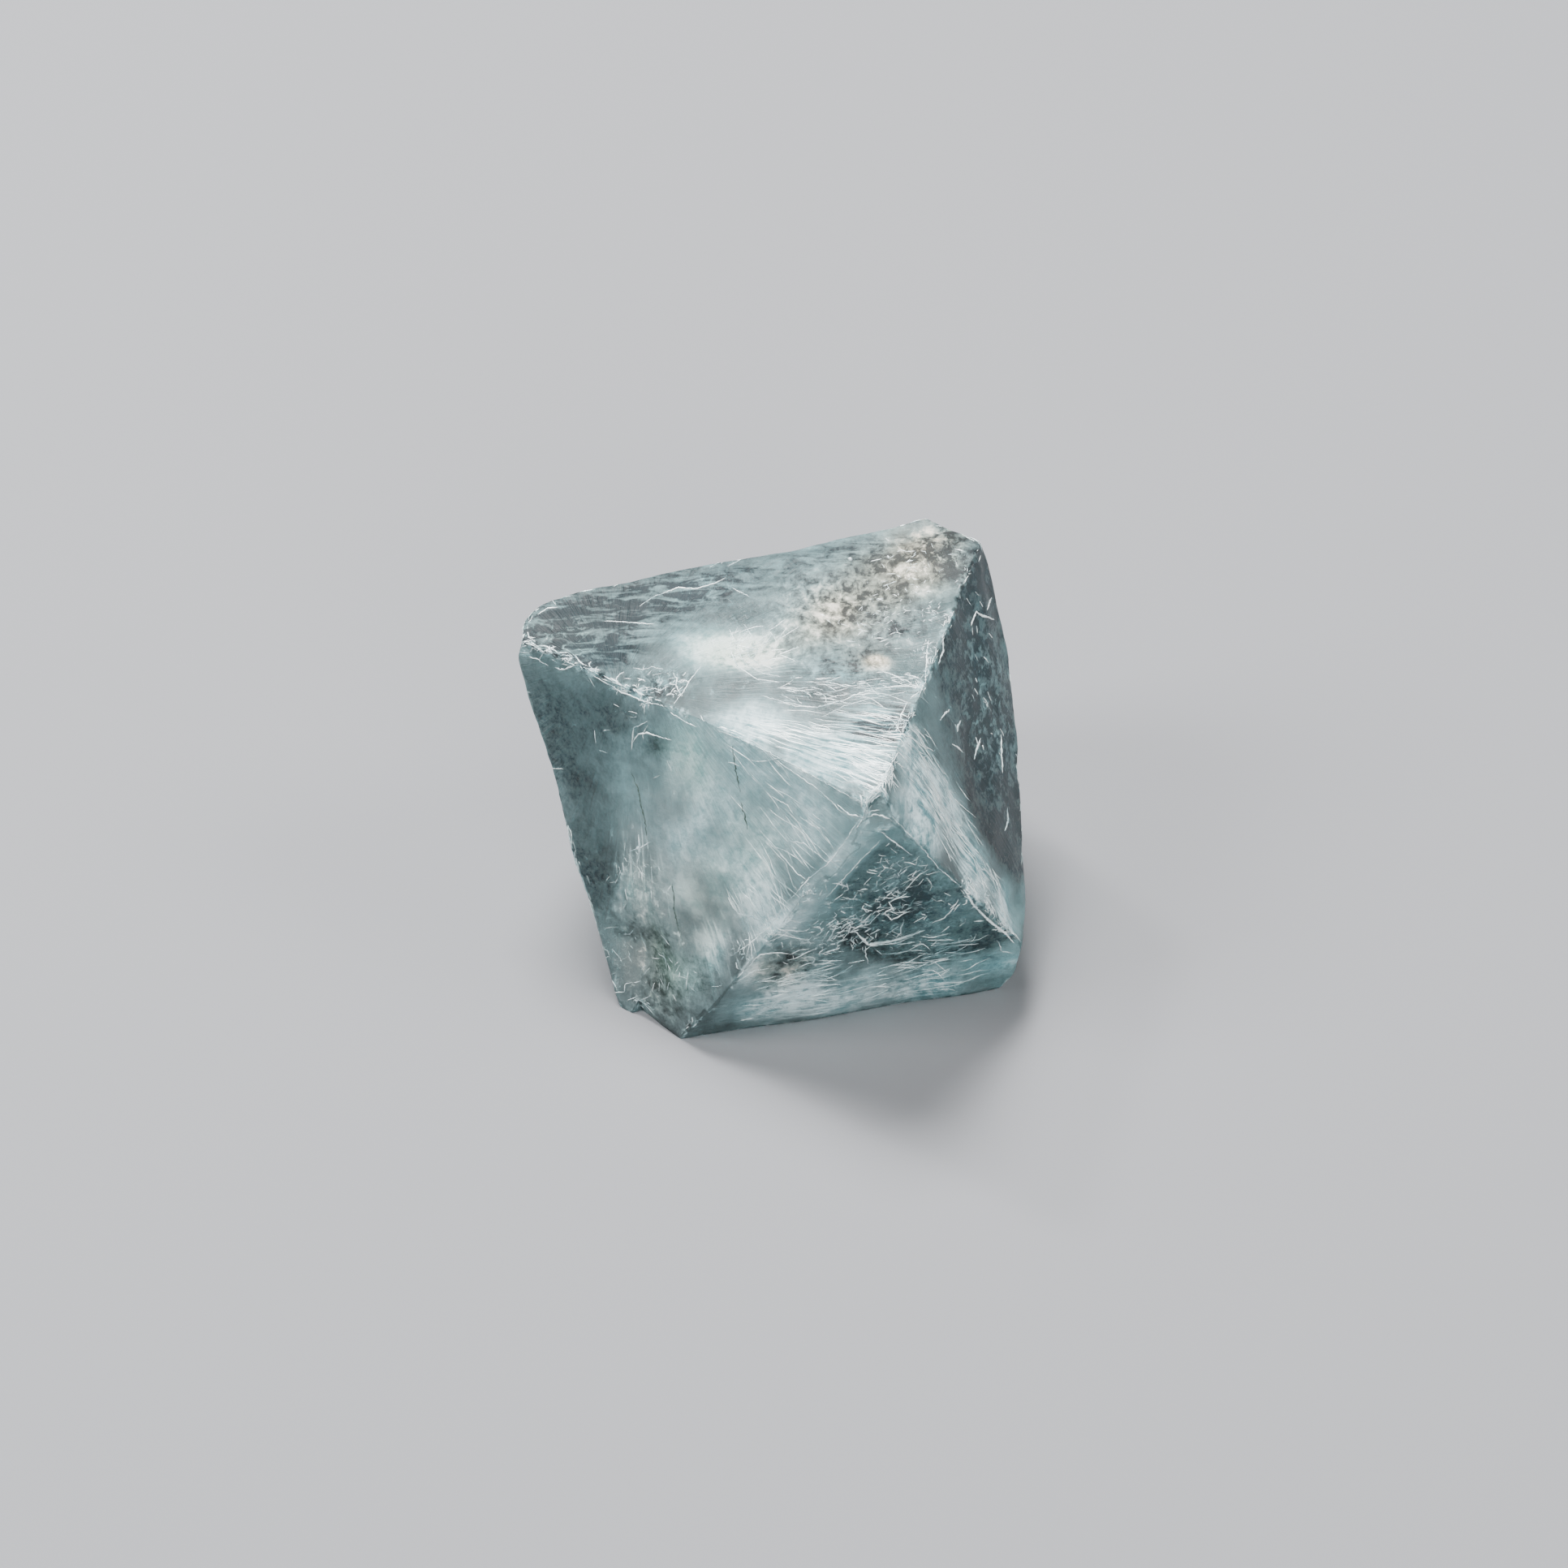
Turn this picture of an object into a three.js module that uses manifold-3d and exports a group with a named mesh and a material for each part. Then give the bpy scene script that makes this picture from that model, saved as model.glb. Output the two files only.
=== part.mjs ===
// A loose octahedral fluorite crystal that lies on one of its eight faces.
// Units are millimetres, +Z is up, and the origin is the bottom centre of the crystal's box.
//
// The crystal is a body bounded by planes. Each plane is named by the compass direction and the
// tilt of its outward normal, and by its distance from the crystal's centre. The eight large
// planes are the octahedron, and the narrow ones are bevels and blunted corners. The flat faces
// are divided into small triangles and etched: growth steps, ledges, pits and lumps move the
// surface in or out by a few tenths of a millimetre. Last, small fresh breaks are cut out of the
// lower corners. The face that the crystal rests on stays flat.

import * as THREE from "three";
import { ImprovedNoise } from "three/addons/math/ImprovedNoise.js";
import { TessellateModifier } from "three/addons/modifiers/TessellateModifier.js";
import { mergeVertices } from "three/addons/utils/BufferGeometryUtils.js";
import Module from "manifold-3d";

// Driving dimensions.
const CENTRE_HEIGHT = 7.1; // from the resting face up to the centre that planes are measured from
const TRIANGLE_EDGE = 1.06; // longest side of a surface triangle
const SPLITS = 14; // most times that a triangle is halved
const TOLERANCE = 1e-6; // for corners that lie on a plane
const MERGE_TOLERANCE = 1e-4; // under which two corners are one

// The octahedron: compass direction and tilt of each outward normal in degrees, distance in mm.
const FACES = {
  top: { compass: 178, tilt: 88, distance: 6.81 },
  left: { compass: -130.5, tilt: 15.5, distance: 8.18 },
  right: { compass: -13.5, tilt: 24.5, distance: 9.45 },
  front: { compass: -74.8, tilt: -19, distance: 10.69 },
  back: { compass: 109, tilt: 19.5, distance: 9.38 },
  rearLeft: { compass: 170.6, tilt: -25.1, distance: 7.94 },
  rearRight: { compass: 30.6, tilt: -34.8, distance: 8.44 },
  rest: { compass: 0, tilt: -90, distance: CENTRE_HEIGHT },
};

// Narrow bevels along the ridges that meet at the front corner, and the tip of that corner.
const BEVELS = {
  leftFrontBevel: { compass: -102.1, tilt: -0.7, distance: 11.15 },
  topLeftBevel: { compass: -129.4, tilt: 52.2, distance: 9.36 },
  rightFrontBevel: { compass: -47.4, tilt: 6.4, distance: 12.99 },
  frontTip: { compass: -71, tilt: 22, distance: 14.18 },
};

// Blunted corners and the broad shoulder on the right.
const BLUNTED = {
  rightShoulder: { compass: 21.6, tilt: 5, distance: 12.02 },
  topLeftCorner: { compass: 176.9, tilt: 5, distance: 11.79 },
  topLeftCornerRear: { compass: 164.7, tilt: 10.2, distance: 12.29 },
  topLeftCornerBack: { compass: 121.7, tilt: 20.1, distance: 10.51 },
  topRightCorner: { compass: 44.3, tilt: 18.2, distance: 13.65 },
  lowerRightCorner: { compass: -4, tilt: -13.7, distance: 12.03 },
  rearFoot: { compass: 98, tilt: -14, distance: 12.75 },
};

// Steps that follow an edge of a face: the face climbs by height at each distance from that edge.
const GROWTH_STEPS = [
  { face: "top", edge: "back", at: [1.7, 3.3, 5.4], height: 0.1, wander: 0.9 },
  { face: "top", edge: "right", at: [1.3], height: 0.08, wander: 0.5 },
  { face: "left", edge: "rearLeft", at: [1.9, 3.4], height: 0.12, wander: 0.8 },
  { face: "right", edge: "rearRight", at: [1.6, 3], height: 0.12, wander: 0.7 },
  { face: "back", edge: "top", at: [2.2, 4.6, 8.4], height: 0.12, wander: 0.9 },
  { face: "back", edge: "rearRight", at: [3.1], height: 0.15, wander: 0.9 },
  { face: "rearLeft", edge: "back", at: [2.4, 5.1], height: 0.15, wander: 0.9 },
  { face: "rearRight", edge: "right", at: [2.4, 5.2], height: 0.17, wander: 0.9 },
];

const STEP_WIDTH = 0.4; // over which a step climbs
const STEP_DRIFT = 2.6; // the spacing at which its line wanders

// Hollows and lumps: centre, the radius that they reach and their height (negative is a hollow).
const SPOTS = [
  { name: "corner lump", at: [7.2, 6.8, 14.1], reach: 2.2, height: 0.22 },
  { name: "pearly hollow", at: [-1.2, -0.4, 13.9], reach: 2.4, height: -0.2 },
  { name: "pearly lump", at: [1.6, 0.6, 13.9], reach: 2, height: 0.12 },
  { name: "edge pit", at: [-5.6, -2.9, 13.7], reach: 2.1, height: -0.26 },
  { name: "corner pit", at: [-10.6, 0.9, 13.5], reach: 1.6, height: -0.16 },
  { name: "left hollow", at: [-8.8, -1.6, 9.2], reach: 3.2, height: -0.2 },
  { name: "left swelling", at: [-3.6, -7.6, 7.6], reach: 3.6, height: 0.12 },
  { name: "lower break", at: [-5.4, -7.6, 3], reach: 1.9, height: -0.34 },
  { name: "foot lump", at: [-3.2, -9.7, 2.1], reach: 1.5, height: 0.18 },
  { name: "right hollow", at: [8.9, -2.4, 9.6], reach: 2.8, height: -0.18 },
  { name: "right dent", at: [10.5, -6.3, 3.9], reach: 1.1, height: -0.26 },
  { name: "front hollow", at: [5.3, -9.8, 4.9], reach: 3, height: -0.16 },
  { name: "back hollow", at: [-1, 10.2, 8.6], reach: 3.6, height: -0.24 },
  { name: "back pit", at: [3.6, 10.6, 4.2], reach: 1.7, height: -0.26 },
  { name: "rear left hollow", at: [-9.2, 5, 6.4], reach: 3, height: -0.22 },
  { name: "rear right hollow", at: [8.2, 3.6, 6.2], reach: 3.2, height: -0.24 },
  { name: "under lump", at: [4.6, 6.2, 2.6], reach: 2.2, height: 0.14 },
];

// A ledge that crosses the top face: from it to the front corner the face lies lower. It bows
// towards that corner, and dies away over a share of its length past each end.
const TOP_LEDGE = {
  from: [-2.6, -3.2],
  to: [6.8, -3.6],
  bow: -2.1,
  ragged: 0.5,
  raggedSpacing: 1,
  height: 0.2,
  width: 0.4,
  leftFade: 0.25,
  rightFade: 0.15,
};

// The front face bulges below a line that falls from left to right, in wrinkles along its foot. The
// line is stated by two points, as X and Z.
const FOOT_BAND = {
  from: [-1.5, 4.7],
  to: [9.9, 2.2],
  rise: 0.5,
  height: 0.2,
  wrinkle: 0.22,
  spacing: 0.95,
  length: 2.85,
};

// The waviness that etching left all over: how far it moves the surface, and its spacing.
const WAVES = [
  { height: 0.16, spacing: 3.1 },
  { height: 0.12, spacing: 1.35 },
];
const SPOT_FLAT = 0.35; // the share of a spot's reach that has its full height
const RIDGE_REACH = 1.2; // the depth under a face at which its say in the relief has fallen off
const RIDGE_FALL = 4; // how steeply it falls
const MEETING_ROUNDS = 24; // corrections that bring a vertex to where its moved faces meet

// Fresh breaks: the middle of the box that each takes out, its size, and its turns in degrees.
const BREAKS = [
  { name: "foot notch", at: [-5.5, -9.6, 0], size: [2.8, 1.5, 0.9], turn: [9, 4, -53] },
  { name: "side chip", at: [-8.15, -7.35, 1.5], size: [1.9, 0.9, 1.5], turn: [24, -12, -52] },
  { name: "right chip", at: [11.35, -7.9, 2.7], size: [0.9, 1.5, 1.7], turn: [8, 22, 28] },
  { name: "rear chip", at: [-2.6, 12.6, 1.5], size: [2.6, 1.1, 1.4], turn: [-20, 8, 12] },
];

const CRYSTAL_COLOR = "#a9c4c4";
const CRYSTAL_ROUGHNESS = 0.25;

const noise = new ImprovedNoise();
const wasm = await Module();
wasm.setup();

/** A plane as its outward unit normal and its distance from the origin. */
function planeOf({ compass, tilt, distance }) {
  const heading = THREE.MathUtils.degToRad(compass);
  const rise = THREE.MathUtils.degToRad(tilt);
  const normal = new THREE.Vector3(
    Math.cos(heading) * Math.cos(rise),
    Math.sin(heading) * Math.cos(rise),
    Math.sin(rise),
  );
  return new THREE.Plane(normal, -(distance + normal.z * CENTRE_HEIGHT));
}

/** The corners of the body that lies inside every plane. */
function cornersInside(planes) {
  const corners = [];
  const rows = new THREE.Matrix3();
  for (let i = 0; i < planes.length; i += 1)
    for (let j = i + 1; j < planes.length; j += 1)
      for (let k = j + 1; k < planes.length; k += 1) {
        const trio = [planes[i], planes[j], planes[k]];
        rows.set(...trio.flatMap((plane) => plane.normal.toArray()));
        if (Math.abs(rows.determinant()) < TOLERANCE) continue;
        const corner = new THREE.Vector3(...trio.map((plane) => -plane.constant));
        corner.applyMatrix3(rows.invert());
        if (planes.every((plane) => plane.distanceToPoint(corner) < TOLERANCE)) corners.push(corner);
      }
  return corners;
}

/** A face of the body as triangles round its middle, facing out. */
function faceTriangles(plane, corners) {
  const rim = corners.filter((corner) => Math.abs(plane.distanceToPoint(corner)) < TOLERANCE);
  const middle = rim.reduce((sum, corner) => sum.add(corner), new THREE.Vector3());
  middle.divideScalar(rim.length);
  const across = rim[0].clone().sub(middle).normalize();
  const along = plane.normal.clone().cross(across);
  const turn = (corner) => {
    const spoke = corner.clone().sub(middle);
    return Math.atan2(spoke.dot(along), spoke.dot(across));
  };
  rim.sort((a, b) => turn(a) - turn(b));
  return rim.flatMap((corner, i) => [middle, corner, rim[(i + 1) % rim.length]]);
}

/** The flat-faced crystal as one surface of small triangles. */
function makeFlatBody(planes) {
  const corners = cornersInside(planes);
  const points = planes.flatMap((plane) => faceTriangles(plane, corners));
  const body = new THREE.BufferGeometry().setFromPoints(points);
  const divided = new TessellateModifier(TRIANGLE_EDGE, SPLITS).modify(body);
  return mergeVertices(divided, MERGE_TOLERANCE);
}

/** A closed geometry as a manifold solid. */
function toSolid(geometry) {
  const bare = geometry.clone();
  bare.deleteAttribute("normal");
  bare.deleteAttribute("uv");
  const merged = mergeVertices(bare, MERGE_TOLERANCE);
  const mesh = new wasm.Mesh({
    numProp: 3,
    vertProperties: new Float32Array(merged.attributes.position.array),
    triVerts: new Uint32Array(merged.index.array),
  });
  return new wasm.Manifold(mesh);
}

/** A manifold solid as an indexed geometry. */
function toGeometry(solid) {
  const { vertProperties, triVerts } = solid.getMesh();
  const geometry = new THREE.BufferGeometry();
  geometry.setAttribute("position", new THREE.BufferAttribute(vertProperties, 3));
  geometry.setIndex(new THREE.BufferAttribute(triVerts, 1));
  return geometry;
}

/** The box that one break takes out of a corner. */
function breakBox({ at, size, turn }) {
  const box = new THREE.BoxGeometry(...size);
  const angles = turn.map((angle) => THREE.MathUtils.degToRad(angle));
  box.applyMatrix4(new THREE.Matrix4().makeRotationFromEuler(new THREE.Euler(...angles, "ZYX")));
  box.translate(...at);
  return toSolid(box);
}

/** 0 below the first value, 1 above the second, and smooth between them. */
const blend = THREE.MathUtils.smoothstep;

/** Smooth noise from about -1 to 1 whose bumps are a given spacing apart. */
function noiseAt({ x, y, z }, spacing) {
  return noise.noise(x / spacing, y / spacing, z / spacing);
}

/** How far the growth steps lower a point of a face that lies between them and the edge. */
function stepRelief(face, point, planes) {
  const drift = noiseAt(point, STEP_DRIFT);
  let relief = 0;
  for (const { edge, at, height, wander } of GROWTH_STEPS.filter((steps) => steps.face === face)) {
    const inward = -planes[edge].distanceToPoint(point) + wander * drift;
    for (const place of at)
      relief += height * (blend(inward, place - STEP_WIDTH / 2, place + STEP_WIDTH / 2) - 1);
  }
  return relief;
}

/** The ledge on the top face: a bowed line, with the side of the front corner below it. */
function ledgeRelief(point) {
  const { from, to, bow, ragged, raggedSpacing, height, width, leftFade, rightFade } = TOP_LEDGE;
  const along = (point.x - from[0]) / (to[0] - from[0]);
  const chord = THREE.MathUtils.lerp(from[1], to[1], along);
  const sag = bow * Math.max(0, 1 - (2 * along - 1) ** 2);
  const line = chord + sag + ragged * noiseAt(point, raggedSpacing);
  const ends = blend(along, -leftFade, leftFade) * (1 - blend(along, 1, 1 + rightFade));
  return -ends * height * blend(line - point.y, -width / 2, width / 2);
}

/** The swollen, wrinkled band along the foot of the front face. */
function footRelief(point) {
  const { from, to, rise, height, wrinkle, spacing, length } = FOOT_BAND;
  const along = (point.x - from[0]) / (to[0] - from[0]);
  const top = THREE.MathUtils.lerp(from[1], to[1], along);
  const inBand = 1 - blend(point.z, top - rise, top);
  const bulge = Math.sin((Math.PI * point.z) / top);
  const ripple = noise.noise(point.x / length, point.y / length, point.z / spacing);
  return inBand * (height * bulge + wrinkle * ripple);
}

/** The relief of one large face at a point, outwards if positive. */
function faceRelief(face, point, planes) {
  if (face === "rest") return 0;
  let relief = stepRelief(face, point, planes);
  for (const { height, spacing } of WAVES) relief += height * noiseAt(point, spacing);
  for (const { at, reach, height } of SPOTS) {
    const distance = point.distanceTo(new THREE.Vector3(...at));
    relief += height * (1 - blend(distance, reach * SPOT_FLAT, reach));
  }
  if (face === "top") relief += ledgeRelief(point);
  if (face === "front") relief += footRelief(point);
  return relief;
}

/** The relief at a point: that of the face that it lies on, shared with those that it lies near. */
function reliefAt(point, planes) {
  let relief = 0;
  let weights = 0;
  for (const face of Object.keys(FACES)) {
    const depth = Math.max(0, -planes[face].distanceToPoint(point));
    const weight = (RIDGE_REACH / (RIDGE_REACH + depth)) ** RIDGE_FALL;
    relief += weight * faceRelief(face, point, planes);
    weights += weight;
  }
  return relief / weights;
}

/**
 * Moves each vertex out by the relief, square to every plane that it lies on. On a ridge or a
 * corner it goes to where the moved planes meet, which a few rounds of corrections find. The
 * resting face stays flat.
 */
function etch(geometry, planes) {
  const { position } = geometry.attributes;
  const point = new THREE.Vector3();
  for (let i = 0; i < position.count; i += 1) {
    point.fromBufferAttribute(position, i);
    const relief = reliefAt(point, planes);
    const touched = Object.entries(planes).filter(
      ([, plane]) => Math.abs(plane.distanceToPoint(point)) < MERGE_TOLERANCE,
    );
    const shift = new THREE.Vector3();
    for (let round = 0; round < MEETING_ROUNDS; round += 1)
      for (const [name, { normal }] of touched) {
        const target = name === "rest" ? 0 : relief;
        shift.addScaledVector(normal, target - normal.dot(shift));
      }
    point.add(shift);
    position.setXYZ(i, point.x, point.y, Math.max(0, point.z));
  }
}

/** The etched crystal, with the bottom centre of its box at the origin. */
function makeCrystal() {
  const stated = Object.entries({ ...FACES, ...BEVELS, ...BLUNTED });
  const planes = Object.fromEntries(stated.map(([name, face]) => [name, planeOf(face)]));
  const etched = makeFlatBody(Object.values(planes));
  etch(etched, planes);
  const whole = BREAKS.reduce((solid, part) => solid.subtract(breakBox(part)), toSolid(etched));
  const geometry = toGeometry(whole);
  geometry.computeBoundingBox();
  const middle = geometry.boundingBox.getCenter(new THREE.Vector3());
  geometry.translate(-middle.x, -middle.y, -geometry.boundingBox.min.z);
  geometry.computeVertexNormals();
  const material = new THREE.MeshStandardMaterial({
    color: CRYSTAL_COLOR,
    roughness: CRYSTAL_ROUGHNESS,
    metalness: 0,
    transparent: true,
    opacity: 0.85,
    flatShading: true,
  });
  const crystal = new THREE.Mesh(geometry, material);
  crystal.name = "fluorite_crystal";
  return crystal;
}

const specimen = new THREE.Group();
specimen.add(makeCrystal());

export default specimen;
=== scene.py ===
# A loose octahedral fluorite crystal, lying on one of its faces on a pale studio floor.
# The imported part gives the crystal's form. This file gives it the surface and the look of the
# stone. Its own sizes are in millimetres, and Blender's are in metres.

import math
import random

import bmesh
import bpy
import numpy as np
from mathutils import Matrix, Vector, noise
from mathutils.bvhtree import BVHTree
from mathutils.kdtree import KDTree


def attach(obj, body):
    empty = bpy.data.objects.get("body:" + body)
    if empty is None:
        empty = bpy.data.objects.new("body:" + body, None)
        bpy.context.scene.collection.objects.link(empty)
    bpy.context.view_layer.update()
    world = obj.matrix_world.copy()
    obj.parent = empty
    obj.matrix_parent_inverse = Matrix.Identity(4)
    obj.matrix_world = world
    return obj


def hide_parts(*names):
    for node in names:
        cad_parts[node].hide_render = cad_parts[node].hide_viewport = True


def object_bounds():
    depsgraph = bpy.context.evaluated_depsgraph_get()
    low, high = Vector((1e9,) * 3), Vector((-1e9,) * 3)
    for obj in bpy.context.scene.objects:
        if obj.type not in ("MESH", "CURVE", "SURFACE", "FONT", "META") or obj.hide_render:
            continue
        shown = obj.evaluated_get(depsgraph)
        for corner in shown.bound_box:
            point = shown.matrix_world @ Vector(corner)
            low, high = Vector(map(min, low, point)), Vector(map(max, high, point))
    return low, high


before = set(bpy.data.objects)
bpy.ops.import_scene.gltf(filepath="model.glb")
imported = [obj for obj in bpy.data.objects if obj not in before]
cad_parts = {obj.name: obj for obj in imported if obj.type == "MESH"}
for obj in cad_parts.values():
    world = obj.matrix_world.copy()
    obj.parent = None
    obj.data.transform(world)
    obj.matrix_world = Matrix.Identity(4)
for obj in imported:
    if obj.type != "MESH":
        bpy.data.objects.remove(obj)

CAD_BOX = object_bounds()
MM = 0.001


# --- Where the crystal is seen from ---
# A long lens, above the crystal's front corner. Marks on the faces are set out as that lens shows
# them, in a square picture of 1932 by 1932 pixels, and are then laid on the crystal itself.

AIM = Vector((0.516, -12.064, 14.51))  # in the plane of the front corner
LENS_TILT = math.radians(34)
LENS_DISTANCE = 300
VIEW_WIDTH = 65.5  # across the picture at the aim
PICTURE = 1932
SENSOR = 36
SHOWN_FROM, SHOWN_TO = 0.01, 10  # the nearest and the farthest that it shows, in metres

lens_back = Vector((0, -math.cos(LENS_TILT), math.sin(LENS_TILT)))
lens_right = Vector((1, 0, 0))
lens_up = lens_back.cross(lens_right)
eye = AIM + LENS_DISTANCE * lens_back

camera_data = bpy.data.cameras.new("long_lens")
camera_data.sensor_width = SENSOR
camera_data.lens = SENSOR * LENS_DISTANCE / VIEW_WIDTH
camera_data.clip_start = SHOWN_FROM
camera_data.clip_end = SHOWN_TO


def place(data):
    """A new object for a lens, a mesh or a lamp, in the scene and with its name."""
    placed = bpy.data.objects.new(data.name, data)
    bpy.context.scene.collection.objects.link(placed)
    return placed


camera = place(camera_data)
camera.matrix_world = Matrix.Translation(eye * MM) @ Matrix(
    (lens_right, lens_up, lens_back)
).transposed().to_4x4()
bpy.context.scene.camera = camera


def sight_line(across, down):
    """The direction in which the lens sees a pixel of its picture."""
    step = VIEW_WIDTH / PICTURE
    right = (across - PICTURE / 2) * step
    up = (PICTURE / 2 - down) * step
    return (right * lens_right + up * lens_up - LENS_DISTANCE * lens_back).normalized()


# --- The crystal ---
# One piece of natural fluorite, grown as an octahedron and etched all over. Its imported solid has
# flat facets a millimetre wide, which are divided and worn smooth between the ridges here.

SAME_POINT = 1e-7  # metres
DIVISIONS = 2  # each splits a facet in four
RIDGE_ANGLE = math.radians(33)  # a fold sharper than this is a ridge of the crystal
SMOOTHING_ROUNDS, SMOOTHING = 14, 0.5
RIDGE_WEAR_ROUNDS, RIDGE_WEAR = 2, 0.35
TOUCHING = 1e-3  # a point lower than this rests on the floor, in mm


def packed_surface(node):
    """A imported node's points in millimetres, its triangles, and its ridges as pairs of points."""
    form = bmesh.new()
    form.from_mesh(node.data)
    bmesh.ops.remove_doubles(form, verts=form.verts, dist=SAME_POINT)
    bmesh.ops.triangulate(form, faces=form.faces)
    points = np.array([vert.co for vert in form.verts]) / MM
    triangles = np.array([[vert.index for vert in face.verts] for face in form.faces])
    ridges = np.array(
        [
            [vert.index for vert in edge.verts]
            for edge in form.edges
            if len(edge.link_faces) == 2 and edge.calc_face_angle() > RIDGE_ANGLE
        ]
    )
    form.free()
    return points, triangles, ridges


def edge_keys(pairs, count):
    """One number for each pair of points, whichever way round it is."""
    return np.minimum(pairs[:, 0], pairs[:, 1]) * count + np.maximum(pairs[:, 0], pairs[:, 1])


def divide(points, triangles, ridges):
    """Splits each triangle in four, and each ridge edge in two."""
    count = len(points)
    sides = np.concatenate([triangles[:, [0, 1]], triangles[:, [1, 2]], triangles[:, [2, 0]]])
    keys, side_key = np.unique(edge_keys(sides, count), return_inverse=True)
    middles = (points[keys // count] + points[keys % count]) / 2
    ab, bc, ca = side_key.reshape(3, -1) + count
    a, b, c = triangles.T
    corners = [(a, ab, ca), (ab, b, bc), (ca, bc, c), (ab, bc, ca)]
    smaller = np.concatenate([np.stack(corner, 1) for corner in corners])
    halfway = np.searchsorted(keys, edge_keys(ridges, count)) + count
    halves = np.concatenate(
        [np.stack([ridges[:, 0], halfway], 1), np.stack([halfway, ridges[:, 1]], 1)]
    )
    return np.concatenate([points, middles]), smaller, halves


def neighbour_mean(points, pairs):
    """The mean of each point's neighbours along the given pairs, and how many it has."""
    total = np.zeros_like(points)
    number = np.zeros(len(points))
    for near, far in ((0, 1), (1, 0)):
        np.add.at(total, pairs[:, near], points[pairs[:, far]])
        np.add.at(number, pairs[:, near], 1)
    return total / np.maximum(number, 1)[:, None], number


def unique_edges(triangles, count):
    """Each edge of the triangles once, as a pair of points."""
    sides = np.concatenate([triangles[:, [0, 1]], triangles[:, [1, 2]], triangles[:, [2, 0]]])
    keys = np.unique(edge_keys(sides, count))
    return np.stack([keys // count, keys % count], 1)


def worn(points, triangles, ridges):
    """The surface with its facets worn smooth, and its ridges worn only along their length."""
    edges = unique_edges(triangles, len(points))
    on_ridge = np.zeros(len(points), bool)
    on_ridge[ridges.ravel()] = True
    resting = points[:, 2] < TOUCHING
    for _ in range(SMOOTHING_ROUNDS):
        around, _ = neighbour_mean(points, edges)
        along, number = neighbour_mean(points, ridges)
        goal = np.where((number == 2)[:, None], along, points)
        goal = np.where(on_ridge[:, None], goal, around)
        points = points + SMOOTHING * (goal - points)
        points[resting, 2] = 0
    for _ in range(RIDGE_WEAR_ROUNDS):
        around, _ = neighbour_mean(points, edges)
        points = points + RIDGE_WEAR * (around - points)
        points[resting, 2] = 0
    return points


def normals_of(points, triangles):
    """The outward direction at each point."""
    a, b, c = (points[triangles[:, k]] for k in range(3))
    square = np.cross(b - a, c - a)
    total = np.zeros_like(points)
    for k in range(3):
        np.add.at(total, triangles[:, k], square)
    return total / np.maximum(np.linalg.norm(total, axis=1), 1e-12)[:, None]


def mesh_from(name, points, triangles):
    """A mesh, in metres, of points in millimetres and triangles."""
    mesh = bpy.data.meshes.new(name)
    mesh.vertices.add(len(points))
    mesh.vertices.foreach_set("co", (points * MM).astype(np.float32).ravel())
    mesh.loops.add(triangles.size)
    mesh.loops.foreach_set("vertex_index", triangles.astype(np.int32).ravel())
    mesh.polygons.add(len(triangles))
    mesh.polygons.foreach_set("loop_start", np.arange(0, triangles.size, 3, dtype=np.int32))
    mesh.update()
    mesh.shade_smooth()
    return mesh


# The faces by the compass direction and tilt of the way they look, in degrees.
FACES = {
    "top": (178, 88),
    "left": (-130.5, 15.5),
    "right": (-13.5, 24.5),
    "front": (-74.8, -19),
    "back": (109, 19.5),
    "rear_left": (170.6, -25.1),
    "rear_right": (30.6, -34.8),
    "rest": (0, -90),
}


def outward(compass, tilt):
    """The direction with a compass bearing and a tilt, in degrees."""
    heading, rise = math.radians(compass), math.radians(tilt)
    return np.array(
        [math.cos(heading) * math.cos(rise), math.sin(heading) * math.cos(rise), math.sin(rise)]
    )


points, triangles, ridges = packed_surface(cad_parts["fluorite_crystal"])
for _ in range(DIVISIONS):
    points, triangles, ridges = divide(points, triangles, ridges)
points = worn(points, triangles, ridges)
low, high = (np.array(corner) / MM for corner in CAD_BOX)
points = np.clip(points, low, high)
normals = normals_of(points, triangles)
face_ways = np.array([outward(*way) for way in FACES.values()])
face_of = (normals @ face_ways.T).argmax(1)
face_reach = [np.median(points[face_of == k] @ way) for k, way in enumerate(face_ways)]
surface = BVHTree.FromPolygons(points.tolist(), triangles.tolist())


def seen_at(across, down):
    """The point of the crystal that the lens sees at a pixel, or the nearest to what it sees."""
    way = sight_line(across, down)
    hit = surface.ray_cast(eye, way)[0]
    if hit is None:
        passing = eye + way * (Vector(points.mean(axis=0)) - eye).dot(way)
        hit = surface.find_nearest(passing)[0]
    return np.array(hit)


def on_face(name, across, down):
    """The point of a face's plane behind a pixel, inside the face's edges or beyond them."""
    k = list(FACES).index(name)
    ray = np.array(sight_line(across, down))
    start = np.array(eye)
    return start + ray * (face_reach[k] - start @ face_ways[k]) / (ray @ face_ways[k])


# The grain of the etching on each face: a fan that spreads from a point, or a comb from one point
# towards another. The faces that the lens doesn't see have a sloping comb.
FANS = {"top": (760, 850), "left": (780, 800)}
COMBS = {"front": ((842, 1278), (1235, 1213)), "right": ((1095, 1000), (1190, 1140))}
HIDDEN_SLOPE = 0.7  # the rise of the comb on a face that the lens doesn't see
FAN_RADIUS = 10  # the distance from a fan's point at which its spacing is true
LEVEL_FACE = 0.9  # a face that looks up or down by more than this has no level line of its own
FACE_STEP = 20.0  # sets the pattern of one face apart from the next


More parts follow.
